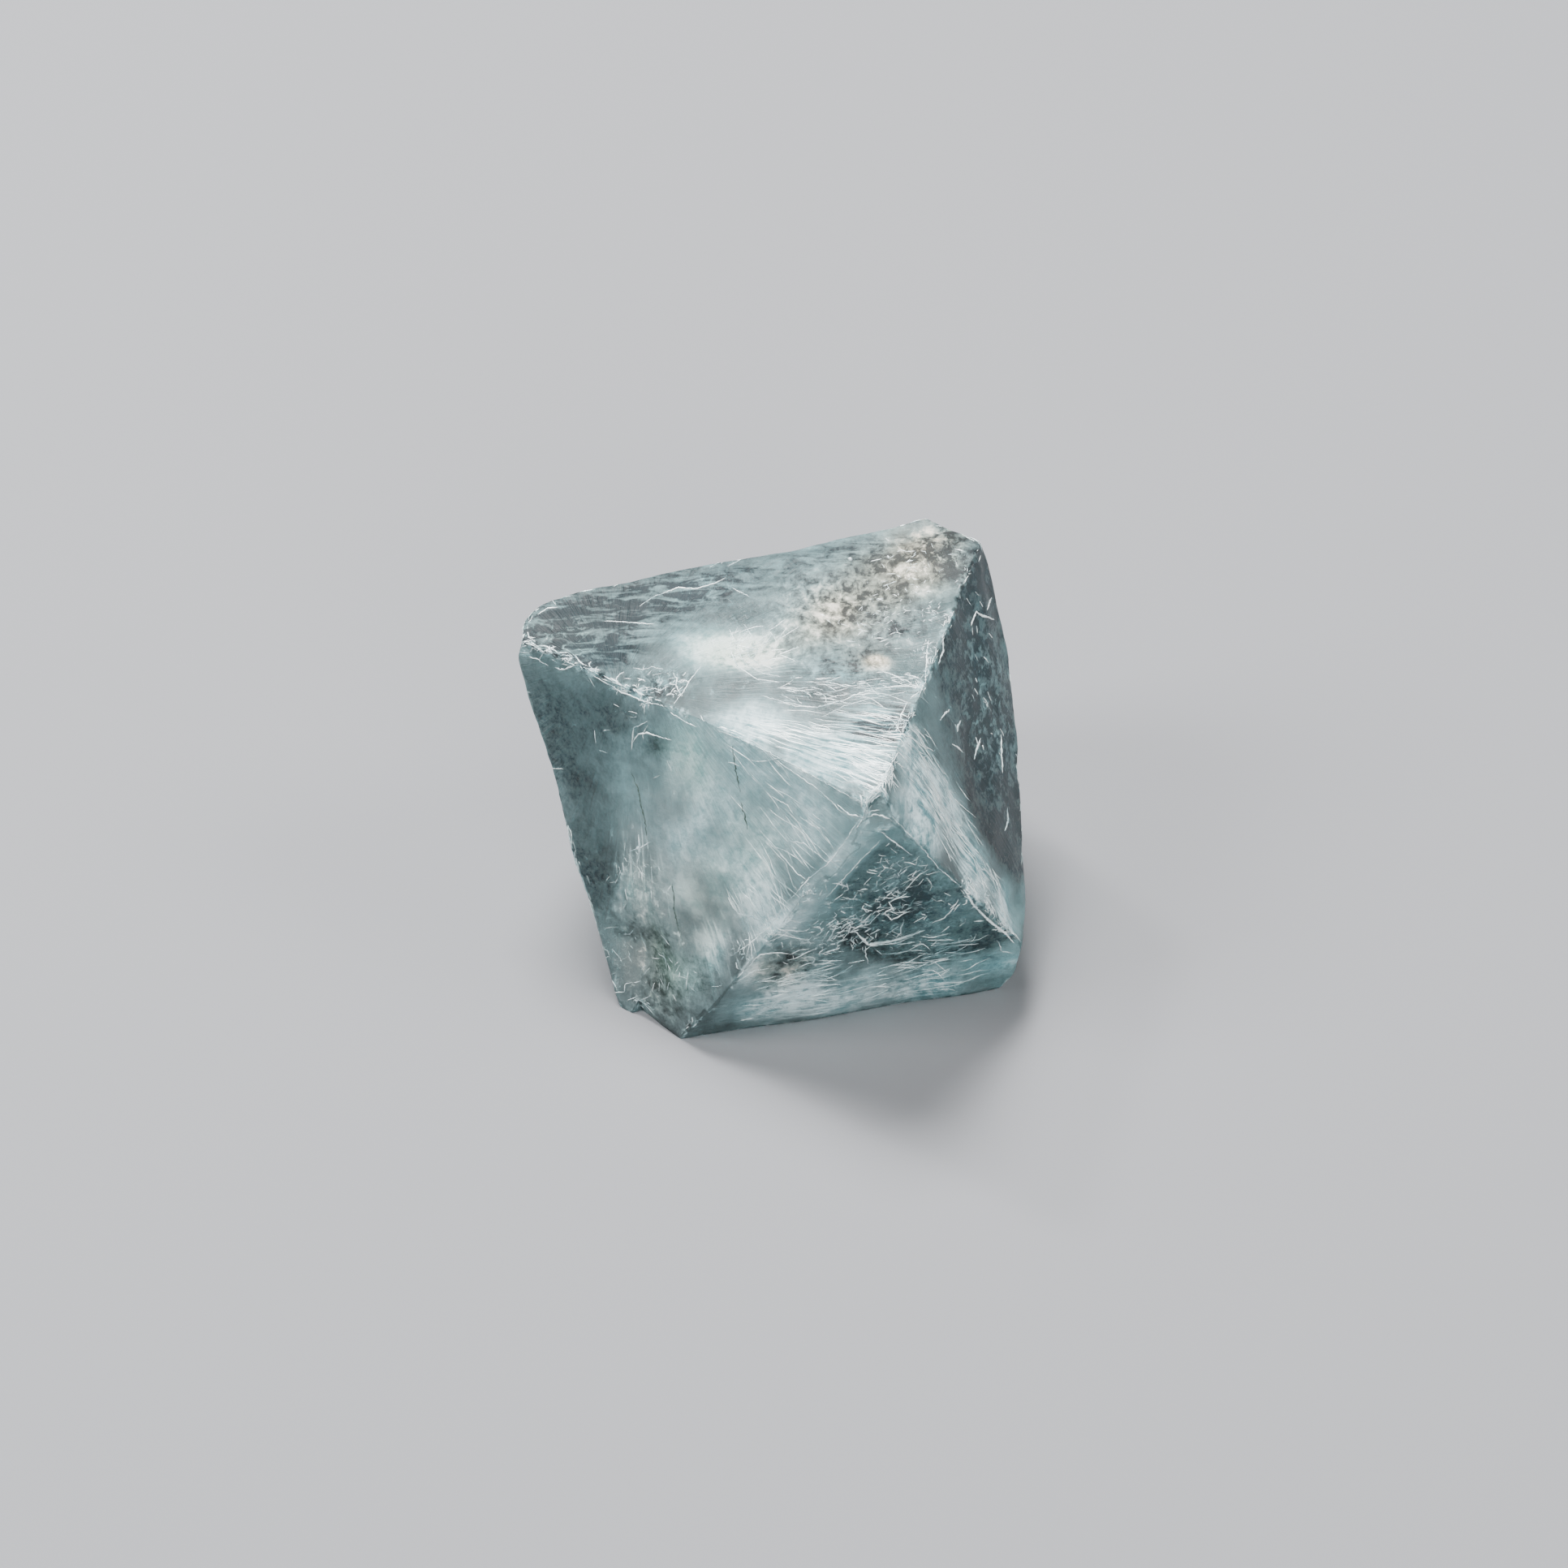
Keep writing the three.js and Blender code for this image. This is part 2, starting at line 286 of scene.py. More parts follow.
def grain_of(name, spots):
    """Places along the grain and across it, in mm, and the grain's direction, at some spots."""
    k = list(FACES).index(name)
    way = face_ways[k]
    if name in FANS:
        spoke = spots - on_face(name, *FANS[name])
        spoke -= np.outer(spoke @ way, way)
        reach = np.linalg.norm(spoke, axis=1)
        level = np.cross([0, 0, 1], way) if abs(way[2]) < LEVEL_FACE else np.array([1.0, 0, 0])
        rise = np.cross(way, level)
        return reach, FAN_RADIUS * np.arctan2(spoke @ rise, spoke @ level), spoke / reach[:, None]
    if name in COMBS:
        start, end = (on_face(name, *pixel) for pixel in COMBS[name])
        along = end - start
    else:
        level = np.cross([0, 0, 1], way) if abs(way[2]) < LEVEL_FACE else np.array([1.0, 0.2, 0])
        along = level + HIDDEN_SLOPE * np.cross(way, level)
    along = along / np.linalg.norm(along)
    across = np.cross(way, along)
    return spots @ along, spots @ across, np.tile(along, (len(spots), 1))


grain = np.zeros((len(points), 3))
grain_way = np.zeros((len(points), 3))
for k, name in enumerate(FACES):
    mine = face_of == k
    along, across, way = grain_of(name, points[mine])
    grain[mine] = np.stack([along, across, np.full(mine.sum(), FACE_STEP * k)], 1)
    grain_way[mine] = way

RIDGE_STOP, RIDGE_FADE = 0.55, 0.3  # the cosine at which a spot ends past a ridge, and its fade


def soft_spot(centre, reach, round_ridges):
    """1 near a place, falling to 0 at its reach and, unless it goes round ridges, past a ridge."""
    away = np.linalg.norm(points - centre, axis=1)
    near = np.clip(1 - away / reach, 0, 1)
    spot = near**2 * (3 - 2 * near)
    if not round_ridges:
        alike = normals @ normals[away.argmin()]
        spot *= np.clip((alike - RIDGE_STOP) / RIDGE_FADE, 0, 1)
    return spot


def painted(spots, round_ridges=False):
    """The sum of some soft spots, at each point of the crystal."""
    total = np.zeros(len(points))
    for across, down, reach, strength in spots:
        total += strength * soft_spot(seen_at(across, down), reach, round_ridges)
    return np.clip(total, 0, 1)


def every(groups):
    """The rows of a table in one list, without the names of their groups."""
    return [row for group in groups.values() for row in group]


# Where the faces are milky, silky along the grain, pitted, banded, laced, warm or green, and where
# painted light and painted shade lie on them: each spot by its pixel, its reach in mm and its strength.
MILK = {
    "top left": [(700, 785, 4.6, 0.35)],
    "back edge": [(830, 735, 4, 0.2)],
    "left": [
        (870, 965, 6.5, 0.4), (985, 1010, 4.2, 0.35), (930, 1115, 3.2, 0.6), (832, 1112, 2.4, 0.3),
    ],
    "left frost": [(778, 1098, 2.2, 0.35)],
    "right silk": [(1168, 988, 1.6, 0.8), (1118, 925, 2.2, 0.5), (1145, 985, 3, 0.6)],
    "foot": [(922, 1190, 2, 0.5), (1235, 1185, 1.8, 0.5), (880, 1168, 1.6, 0.3)],
    "left foot": [(830, 1200, 3, 0.25)],
    "pearly swirl": [(930, 812, 2.6, 0.6), (880, 798, 2.8, 0.7)],
    "cream spots": [(1082, 816, 1, 0.9), (1130, 704, 1.2, 0.5)],
    "top": [(985, 785, 3, 0.45), (1040, 750, 4, 0.6)],
    "fan": [(1030, 935, 3.6, 0.6), (925, 895, 3.4, 0.6)],
    "corner lumps": [(1120, 700, 4.4, 0.7)],
    "right": [(1205, 1070, 2.8, 0.5), (1238, 1120, 2.2, 0.75), (1130, 1015, 3, 0.6)],
    "foot band": [(940, 1238, 3, 0.5), (1050, 1222, 3, 0.55), (1160, 1208, 3, 0.6)],
}
# Painted light: brighter frost where the back lamp shines through the stone, where a face catches a sheen
# and in a bright band along the foot, with some paler frost.
PAINTED_LIGHT = {
    "pearly swirl": [
        (924, 813, 2.2, 0.9), (945, 785, 2, 0.5), (932, 818, 1.4, 0.8), (882, 798, 2.6, 1.1),
        (948, 838, 0.9, 0.7),
    ],
    "top": [
        (985, 738, 2.4, 0.3), (1000, 765, 3.4, 0.15), (1060, 745, 3, 0.15), (1102, 822, 1.5, 0.7),
    ],
    "right": [
        (1216, 1112, 1.3, 1.4), (1116, 985, 1.6, 0.5), (1158, 1058, 1.8, 0.5),
        (1212, 1110, 1.6, 1.4), (1238, 1125, 1.6, 1.3),
    ],
    "fan": [(930, 885, 3.2, 0.9), (1000, 905, 3, 0.45), (1052, 938, 3, 0.42)],
    "cream spots": [
        (1130, 704, 0.9, 1.8), (1109, 701, 0.7, 1.3), (1136, 727, 0.7, 1.2), (1082, 816, 0.9, 1.6),
        (1119, 791, 0.8, 1.1), (1023, 761, 0.8, 0.6), (1052, 793, 0.7, 0.6),
    ],
    "corner lumps": [(1146, 651, 1, 0.9)],
    "left": [
        (940, 1112, 2.6, 0.8), (868, 1110, 3.2, 0.75), (890, 990, 5, 0.35), (985, 1015, 3.8, 0.6),
        (828, 1100, 3, 0.8), (926, 1132, 1.5, 0.6), (825, 985, 2.8, 0.5),
    ],
    "foot band": [
        (932, 1200, 1.9, 0.9), (975, 1234, 3, 1.2), (1070, 1226, 2.6, 0.8), (1165, 1208, 2.4, 0.3),
    ],
    "left foot": [(862, 1166, 1.2, 1), (780, 1178, 1.3, 1.2), (776, 1212, 1, 1.2)],
    "left frost": [
        (768, 1108, 1, 0.8), (787, 1046, 2, 1.2), (789, 1050, 1, 1.3), (803, 1072, 0.8, 0.9),
        (780, 1100, 2, 0.8),
    ],
    "foot": [(912, 1176, 2, 0.9), (1235, 1185, 1.6, 0.4)],
    "front": [
        (1166, 1084, 1.3, 0.6), (985, 1160, 1.6, 0.3), (1036, 1122, 1.4, 0.5),
        (1045, 1180, 1.3, 0.5),
    ],
    "right silk": [
        (1160, 975, 1.5, 1.4), (1180, 995, 1.3, 1.2), (1133, 990, 2.4, 0.7), (1120, 925, 2.2, 0.9),
        (1168, 1045, 2.6, 0.8), (1195, 1070, 2, 0.5),
    ],
}
SILK = {
    "fan": [(1045, 925, 3.8, 0.9), (1075, 888, 2.1, 0.7), (940, 900, 3.4, 0.45)],
    "pearly swirl": [(935, 820, 3, 0.5)],
    "right": [
        (1145, 965, 3, 1), (1185, 1045, 3, 0.9), (1238, 1130, 2.4, 0.75), (1120, 870, 3, 0.4),
    ],
    "left": [(960, 1090, 3.2, 0.2)],
    "left frost": [(785, 1070, 2.8, 0.4)],
    "foot band": [(990, 1230, 3.4, 0.6), (1130, 1215, 3.8, 0.4)],
    "foot": [(880, 1168, 2.2, 0.55)],
}
PITS = {
    "corner lumps": [(1130, 690, 4.2, 0.5), (1085, 765, 4, 0.5), (1150, 658, 2.6, 0.5)],
    "top": [
        (990, 780, 3.4, 0.6), (1060, 825, 2.4, 0.6), (1000, 832, 2, 0.4), (1000, 728, 3.6, 0.4),
        (1040, 740, 3.4, 0.5),
    ],
    "pearly swirl": [(925, 812, 2.4, 0.5)],
    "patch": [(815, 845, 2.4, 0.45)],
    "left foot": [(810, 1180, 4.2, 0.2)],
    "left frost": [(788, 1110, 2.4, 0.4)],
    "right": [
        (1215, 800, 5, 0.28), (1135, 1030, 2.8, 0.5), (1122, 905, 2.6, 0.45), (1230, 930, 5, 0.28),
    ],
    "foot": [(830, 1215, 3, 0.25)],
    "foot band": [(975, 1214, 2.6, 0.45), (1130, 1208, 3, 0.35)],
    "front": [(1000, 1180, 3.2, 0.3)],
}
BANDS = {
    "top left": [(690, 775, 5, 0.9)],
    "back edge": [
        (800, 740, 4.4, 1), (900, 715, 3.6, 0.8), (1010, 685, 3.6, 0.7), (1080, 665, 3, 0.6),
    ],
    "top": [(770, 800, 3.4, 0.6)],
    "left foot": [(860, 1210, 2.6, 0.4)],
}
LACE = {
    "top left": [(680, 795, 3.4, 0.6)],
    "back edge": [(860, 725, 3, 0.3)],
    "patch": [(815, 850, 2.4, 0.9)],
    "corner lumps": [(1130, 690, 4, 0.6)],
    "front": [(1090, 1120, 4.5, 0.55), (1000, 1170, 3, 0.6)],
    "left foot": [(800, 1200, 3, 0.35)],
    "left frost": [(788, 1082, 2, 0.6)],
    "right ridge": [(1130, 830, 2.6, 0.6)],
    "right": [(1215, 880, 6, 0.45)],
}
# Painted shade: darker where a face looks down or away from the lamps, as on the front and the right
# face, along the left edge and in the corners.
PAINTED_SHADE = {
    "front": [
        (1120, 1115, 3.6, 0.4), (1050, 1165, 2.2, 0.25), (1205, 1160, 2.4, 0.2),
        (1215, 1176, 1.8, 0.4),
    ],
    "right": [
        (1203, 705, 3.4, 0.9), (1195, 780, 4, 0.45), (1222, 900, 4.4, 0.65), (1236, 1000, 4, 0.62),
    ],
    "left edge": [(675, 900, 5.4, 0.9), (725, 1080, 3.4, 0.9), (712, 985, 3, 0.4)],
    "left": [
        (760, 880, 3, 0.6), (800, 900, 2.2, 0.35), (812, 919, 1, 0.7), (882, 1092, 0.9, 0.5),
        (762, 958, 2.4, 0.4),
    ],
    "left foot": [
        (795, 1155, 1.6, 0.3), (820, 1235, 3, 0.5), (870, 1200, 1.8, 0.5), (818, 1162, 1.4, 0.8),
        (778, 1150, 1.1, 0.4), (814, 1195, 1.3, 0.5),
    ],
    "foot": [(965, 1190, 2, 0.8)],
    "top left": [(690, 785, 5.4, 1.3)],
    "back edge": [
        (820, 728, 4.4, 1), (740, 745, 3, 0.6), (930, 705, 3.4, 0.5), (1020, 682, 3, 0.6),
    ],
    "foot band": [(1225, 1196, 1.8, 0.4)],
    "top": [
        (1040, 812, 2.6, 0.5), (1010, 742, 2.6, 0.25), (1055, 832, 2.8, 0.35), (1070, 750, 6, 0.35),
        (900, 760, 5, 0.2), (1000, 858, 1.1, 0.3), (1040, 850, 1.2, 0.3),
    ],
    "corner lumps": [
        (1110, 725, 4.2, 0.4), (1090, 690, 3.2, 0.7), (1172, 695, 2.4, 0.9), (1105, 785, 2.2, 0.5),
        (1170, 665, 2.6, 0.7),
    ],
    "patch": [(815, 848, 2.2, 0.7), (750, 812, 2.4, 0.6)],
    "fan": [(1094, 896, 2.2, 1.2)],
}
WARMTHS = {
    "top left": [(690, 780, 5, 0.35)],
    "back edge": [(800, 735, 4.4, 0.25)],
    "corner lumps": [(1120, 700, 5.6, 0.9), (1150, 655, 3, 1.2), (1070, 775, 4.4, 0.6)],
    "pearly swirl": [(935, 810, 3.4, 0.5)],
    "top": [(1010, 770, 3.2, 0.4), (1000, 735, 3.4, 0.5)],
    "cream spots": [(1080, 812, 2, 0.9)],
    "left foot": [(800, 1170, 3.2, 0.8), (820, 1240, 2.6, 0.5)],
    "foot": [(965, 1190, 2.2, 0.8)],
}
GREENS = {
    "left": [(868, 1110, 3, 1), (845, 935, 3.2, 0.7), (930, 1040, 3.4, 0.4)],
    "left foot": [(830, 1190, 3.4, 1)],
    "left frost": [(790, 1085, 2.6, 0.8)],
    "pearly swirl": [(890, 802, 3, 0.9)],
}
# Panes are places with an edge: the fields that each changes and by how much, the faces that it
# lies on, how soft its edge is in pixels, and its corners' pixels, which go round a shape without
# a hollow. A calm pane has less of what would make it uneven.
CALMED = ("silk", "pits", "lace", "painted_shade_and_dark_patches")
BRUISES_CALMED = 0.7
# The two dark panes are painted shade on the front and the right face, and the two bevel panes carry
# painted light.
PANES = [
    (
        "front, dark pane", {"painted_shade_and_dark_patches": 0.63}, ("front",), 9,
        [
            (1085, 1035), (1120, 1042), (1162, 1056), (1212, 1100), (1252, 1155), (1160, 1188),
            (1090, 1188), (1040, 1166), (1022, 1120), (1034, 1088),
        ],
    ),
    (
        "right, dark pane", {"painted_shade_and_dark_patches": 0.8}, ("right",), 14,
        [
            (1178, 662), (1215, 680), (1250, 780), (1275, 900), (1275, 1060), (1254, 1098),
            (1232, 1064), (1208, 1029), (1187, 984), (1170, 940), (1158, 881), (1149, 812),
            (1152, 780), (1163, 713),
        ],
    ),
    (
        "left bevel", {"painted_light_and_pale_patches": 0.62, "milk": 0.2, "calm": 0.7}, ("left", "front"), 7,
        [(1062, 1008), (1086, 1036), (968, 1160), (944, 1144)],
    ),
    (
        "top bevel", {"painted_light_and_pale_patches": 0.55, "calm": 0.9}, ("left", "top"), 6,
        [(900, 903), (1064, 990), (1058, 1010), (1030, 998), (1000, 971)],
    ),
]


def in_picture(spots):
    """The pixels at which the lens would show some spots: across, and down."""
    offset = spots - np.array(eye)
    pixel = VIEW_WIDTH / PICTURE * -(offset @ np.array(lens_back)) / LENS_DISTANCE
    across = PICTURE / 2 + offset @ np.array(lens_right) / pixel
    return across, PICTURE / 2 - offset @ np.array(lens_up) / pixel


def within(corners, edge, names):
    """1 inside a pane on the named faces, 0 outside it, over a soft edge."""
    across, down = in_picture(points)
    inside = np.full(len(points), np.inf)
    for (x, y), (next_x, next_y) in zip(corners, corners[1:] + corners[:1]):
        side = (next_x - x) * (down - y) - (next_y - y) * (across - x)
        inside = np.minimum(inside, side / math.hypot(next_x - x, next_y - y))
    on_faces = np.isin(face_of, [list(FACES).index(name) for name in names])
    return on_faces * np.clip(0.5 + inside / edge, 0, 1)


fields = {
    "milk": painted(every(MILK)),
    "painted_light_and_pale_patches": painted(every(PAINTED_LIGHT)),
    "silk": painted(every(SILK)),
    "pits": painted(every(PITS)),
    "bands": painted(every(BANDS)),
    "lace": painted(every(LACE)),
    "painted_shade_and_dark_patches": painted(every(PAINTED_SHADE)),
    "warmth": painted(every(WARMTHS)),
    "green": painted(every(GREENS)),
}
calm = np.zeros(len(points))
for _, changes, names, edge, corners in PANES:
    pane = within(corners, edge, names)
    for name, strength in changes.items():
        if name == "calm":
            calm = np.maximum(calm, strength * pane)
        else:
            fields[name] = np.clip(fields[name] + strength * pane, 0, 1)
for name in CALMED:
    fields[name] *= 1 - calm


def noise_over(spots):
    """Smooth noise, from about -1 to 1, at some spots."""
    return np.array([noise.noise(Vector(spot)) for spot in spots])


# The sides that the lens doesn't see have the same finish in patches: its mean and its swing.
HIDDEN_SIDES = [list(FACES).index(name) for name in ("back", "rear_left", "rear_right", "rest")]
HIDDEN_PATCH = 3.2
NOISE_STEP = 10  # far enough that two patterns have nothing in common
HIDDEN_LOOK = {
    "milk": (0.4, 0.5),
    "painted_light_and_pale_patches": (0.25, 0.7),
    "silk": (0.15, 0.6),
    "pits": (0.1, 0.5),
    "bands": (0.0, 0.5),
    "lace": (0.3, 0.6),
    "painted_shade_and_dark_patches": (0.2, 0.7),
    "warmth": (0.0, 0.5),
    "green": (0.1, 0.9),
}
hidden = np.isin(face_of, HIDDEN_SIDES)
for k, (name, (mean, swing)) in enumerate(HIDDEN_LOOK.items()):
    patches = mean + swing * noise_over(points / HIDDEN_PATCH + NOISE_STEP * k)
    fields[name] = np.clip(fields[name] + hidden * patches, 0, 1)

# Ridges are bruised white, in a band on each side of them.
BRUISES = {
    "top left corner": [(645, 765, 2, 0.5)],
    "left ridge": [
        (672, 797, 1.8, 0.8), (725, 825, 1.8, 0.9), (780, 856, 1.8, 0.9), (830, 880, 1.4, 0.6),
        (905, 905, 2.6, 0.3), (985, 945, 2.6, 0.25),
    ],
    "front corner": [(1066, 1000, 2, 1)],
    "back corner": [(1150, 645, 2.6, 0.3)],
    "right corner": [(1190, 668, 2.4, 0.4)],
    "right ridge": [
        (1172, 705, 2.4, 0.5), (1152, 765, 2.6, 0.9), (1140, 830, 2.4, 0.8), (1108, 890, 2.4, 0.8),
        (1092, 950, 2.4, 0.9),
    ],
    "front ridge": [
        (1118, 1028, 1.8, 0.3), (1155, 1066, 2.4, 0.15), (1196, 1108, 2, 0.9), (1235, 1148, 2.2, 1),
    ],
    "bevel": [(1020, 1062, 1.6, 0.35), (972, 1112, 1.8, 0.4), (930, 1160, 2, 0.6)],
    "left foot": [(790, 1240, 2.4, 0.4)],
    "toe": [(845, 1270, 2, 0.5)],
}
BRUISE_REACH = 0.4
LEAST_BRUISE, HIDDEN_BRUISE = 0.05, 0.5
ridge_points = np.unique(ridges)
ridge_tree = KDTree(len(ridge_points))
for i in ridge_points:
    ridge_tree.insert(points[i], int(i))
ridge_tree.balance()
to_ridge = np.array([ridge_tree.find(point)[2] for point in points])
hidden_bruises = HIDDEN_BRUISE + noise_over(points / HIDDEN_PATCH)
bruised = np.where(hidden, hidden_bruises, painted(every(BRUISES), round_ridges=True))
fields["bruise"] = np.clip(1 - to_ridge / BRUISE_REACH, 0, 1) * np.clip(bruised, LEAST_BRUISE, 1)
fields["bruise"] *= 1 - BRUISES_CALMED * calm

# The etched relief that is large enough to be in the form itself: heights and spacings in mm, and
# the share of the silk and of the pits that is there outside their own places.
SILK_RELIEF, SILK_SPACING, SILK_ANYWHERE = 0.03, (2.2, 0.55), 0.25
PIT_RELIEF, PIT_SPACING, PITS_ANYWHERE = 0.05, 0.62, 0.1
ROUGH_RELIEF, ROUGH_SPACING, ROUGH_STEP = 0.02, 0.8, 40
CRUMB_RELIEF, CRUMB_SPACING = 0.06, 0.42
STRETCH = np.array([1, 0.62, 1])  # the pattern is longer from front to back
FLAT_FOOT = 0.02  # the resting face stays flat up to here, in mm

silk_relief = noise_over(grain / np.array([*SILK_SPACING, 1]))
pit_relief = noise_over(points * STRETCH / PIT_SPACING)
rough_relief = noise_over(points * STRETCH / ROUGH_SPACING + ROUGH_STEP)
relief = SILK_RELIEF * silk_relief * (SILK_ANYWHERE + fields["silk"])
relief += PIT_RELIEF * pit_relief * (PITS_ANYWHERE + fields["pits"])
relief += ROUGH_RELIEF * rough_relief
relief += CRUMB_RELIEF * noise_over(points / CRUMB_SPACING) * fields["bruise"]
relief *= np.where(points[:, 2] < FLAT_FOOT, 0, 1)
points = np.clip(points + normals * relief[:, None], low, high)
surface = BVHTree.FromPolygons(points.tolist(), triangles.tolist())

crystal = place(mesh_from("etched_crystal", points, triangles))
for name, values in fields.items():
    layer = crystal.data.attributes.new(name, "FLOAT", "POINT")
    layer.data.foreach_set("value", values.astype(np.float32))
layer = crystal.data.attributes.new("grain", "FLOAT_VECTOR", "POINT")
layer.data.foreach_set("vector", grain.astype(np.float32).ravel())
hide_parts("fluorite_crystal")
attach(crystal, "root")

# The stone: fluorite, a soft clear mineral of low refraction, etched to a frost by nature. It gives
# the eye a clear blue-green body under a dull white bloom. The bloom is milky, silky, pitted,
# banded or laced from place to place, and lets the stone show through where it is thin.
FLUORITE_IOR = 1.434
# The dark and bright tints below, and CLEAR_DARK, are shaded and lit copies of the stone's tints: they
# give the painted shade and the painted light, and the frost's darker and paler grains.
COOL_FROST = ("#68979e", "#193038", "#daf2f6")  # plain, dark and bright
WARM_FROST = ("#a09a86", "#33312a", "#fff1dc")
GREEN_FROST, GREEN_SHARE = ("#709c89", "#dcefdc"), 0.6  # plain and bright
CLEAR, CLEAR_DARK = "#a9c8cb", "#18252a"
BODY_TINT, BODY_DENSITY = "#a3d0d2", 50.0
GLOSS_LEVEL, FROST_HIDES = 0.22, 0.65
CLEAR_DULLNESS, FROST_DULLNESS = 0.34, 0.6
# The patterns' sizes in mm, from how many there are to a millimetre.
CLOUD = 1 / 0.45  # a milky cloud
PIT = 1 / 2.1  # an etch pit
GRIT = 1 / 8.0  # the frost's grain: really 0.01 mm, drawn as coarse as it needs to be to show
COMB = (1 / 0.42, 1 / 4.4)  # a ridge of the silk, along it and across
BAND = (1 / 0.62, 1 / 1.5, 1 / 1.5)  # a growth band, along it and across
BAND_TURN = (0, 0, 0.25)
CELL, CELL_WAVE, WAVINESS = 1 / 1.5, 1 / 1.7, (0.9, 0.9, 0.9)  # the cells of the lace
BUMP_HEIGHT = 0.12
# Settings of nodes that come up again and again.
COLOURS = {"output": 2, "data_type": "RGBA"}
TIMES, TIMES_PLUS = {"operation": "MULTIPLY"}, {"operation": "MULTIPLY_ADD"}
SOFTLY = {"interpolation_type": "SMOOTHSTEP"}


def linear(hex_colour):
    """An sRGB colour as linear numbers with an alpha of 1."""
    parts = [int(hex_colour[i : i + 2], 16) / 255 for i in (1, 3, 5)]
    return [(p / 12.92 if p <= 0.04045 else ((p + 0.055) / 1.055) ** 2.4) for p in parts] + [1]


def new_material(name):
    """A material with no nodes yet."""
    material = bpy.data.materials.new(name)
    material.use_nodes = True
    material.node_tree.nodes.clear()
    return material


def node(material, kind, inputs, output=0, **settings):
    """Adds a node with its settings, sets or links its inputs, and gives one of its outputs."""
    made = material.node_tree.nodes.new("ShaderNode" + kind)
    for name, value in settings.items():
        setattr(made, name, value)
    for key, value in inputs.items():
        if isinstance(value, bpy.types.NodeSocket):
            material.node_tree.links.new(value, made.inputs[key])
        else:
            made.inputs[key].default_value = value
    return made.outputs[output] if made.outputs else None


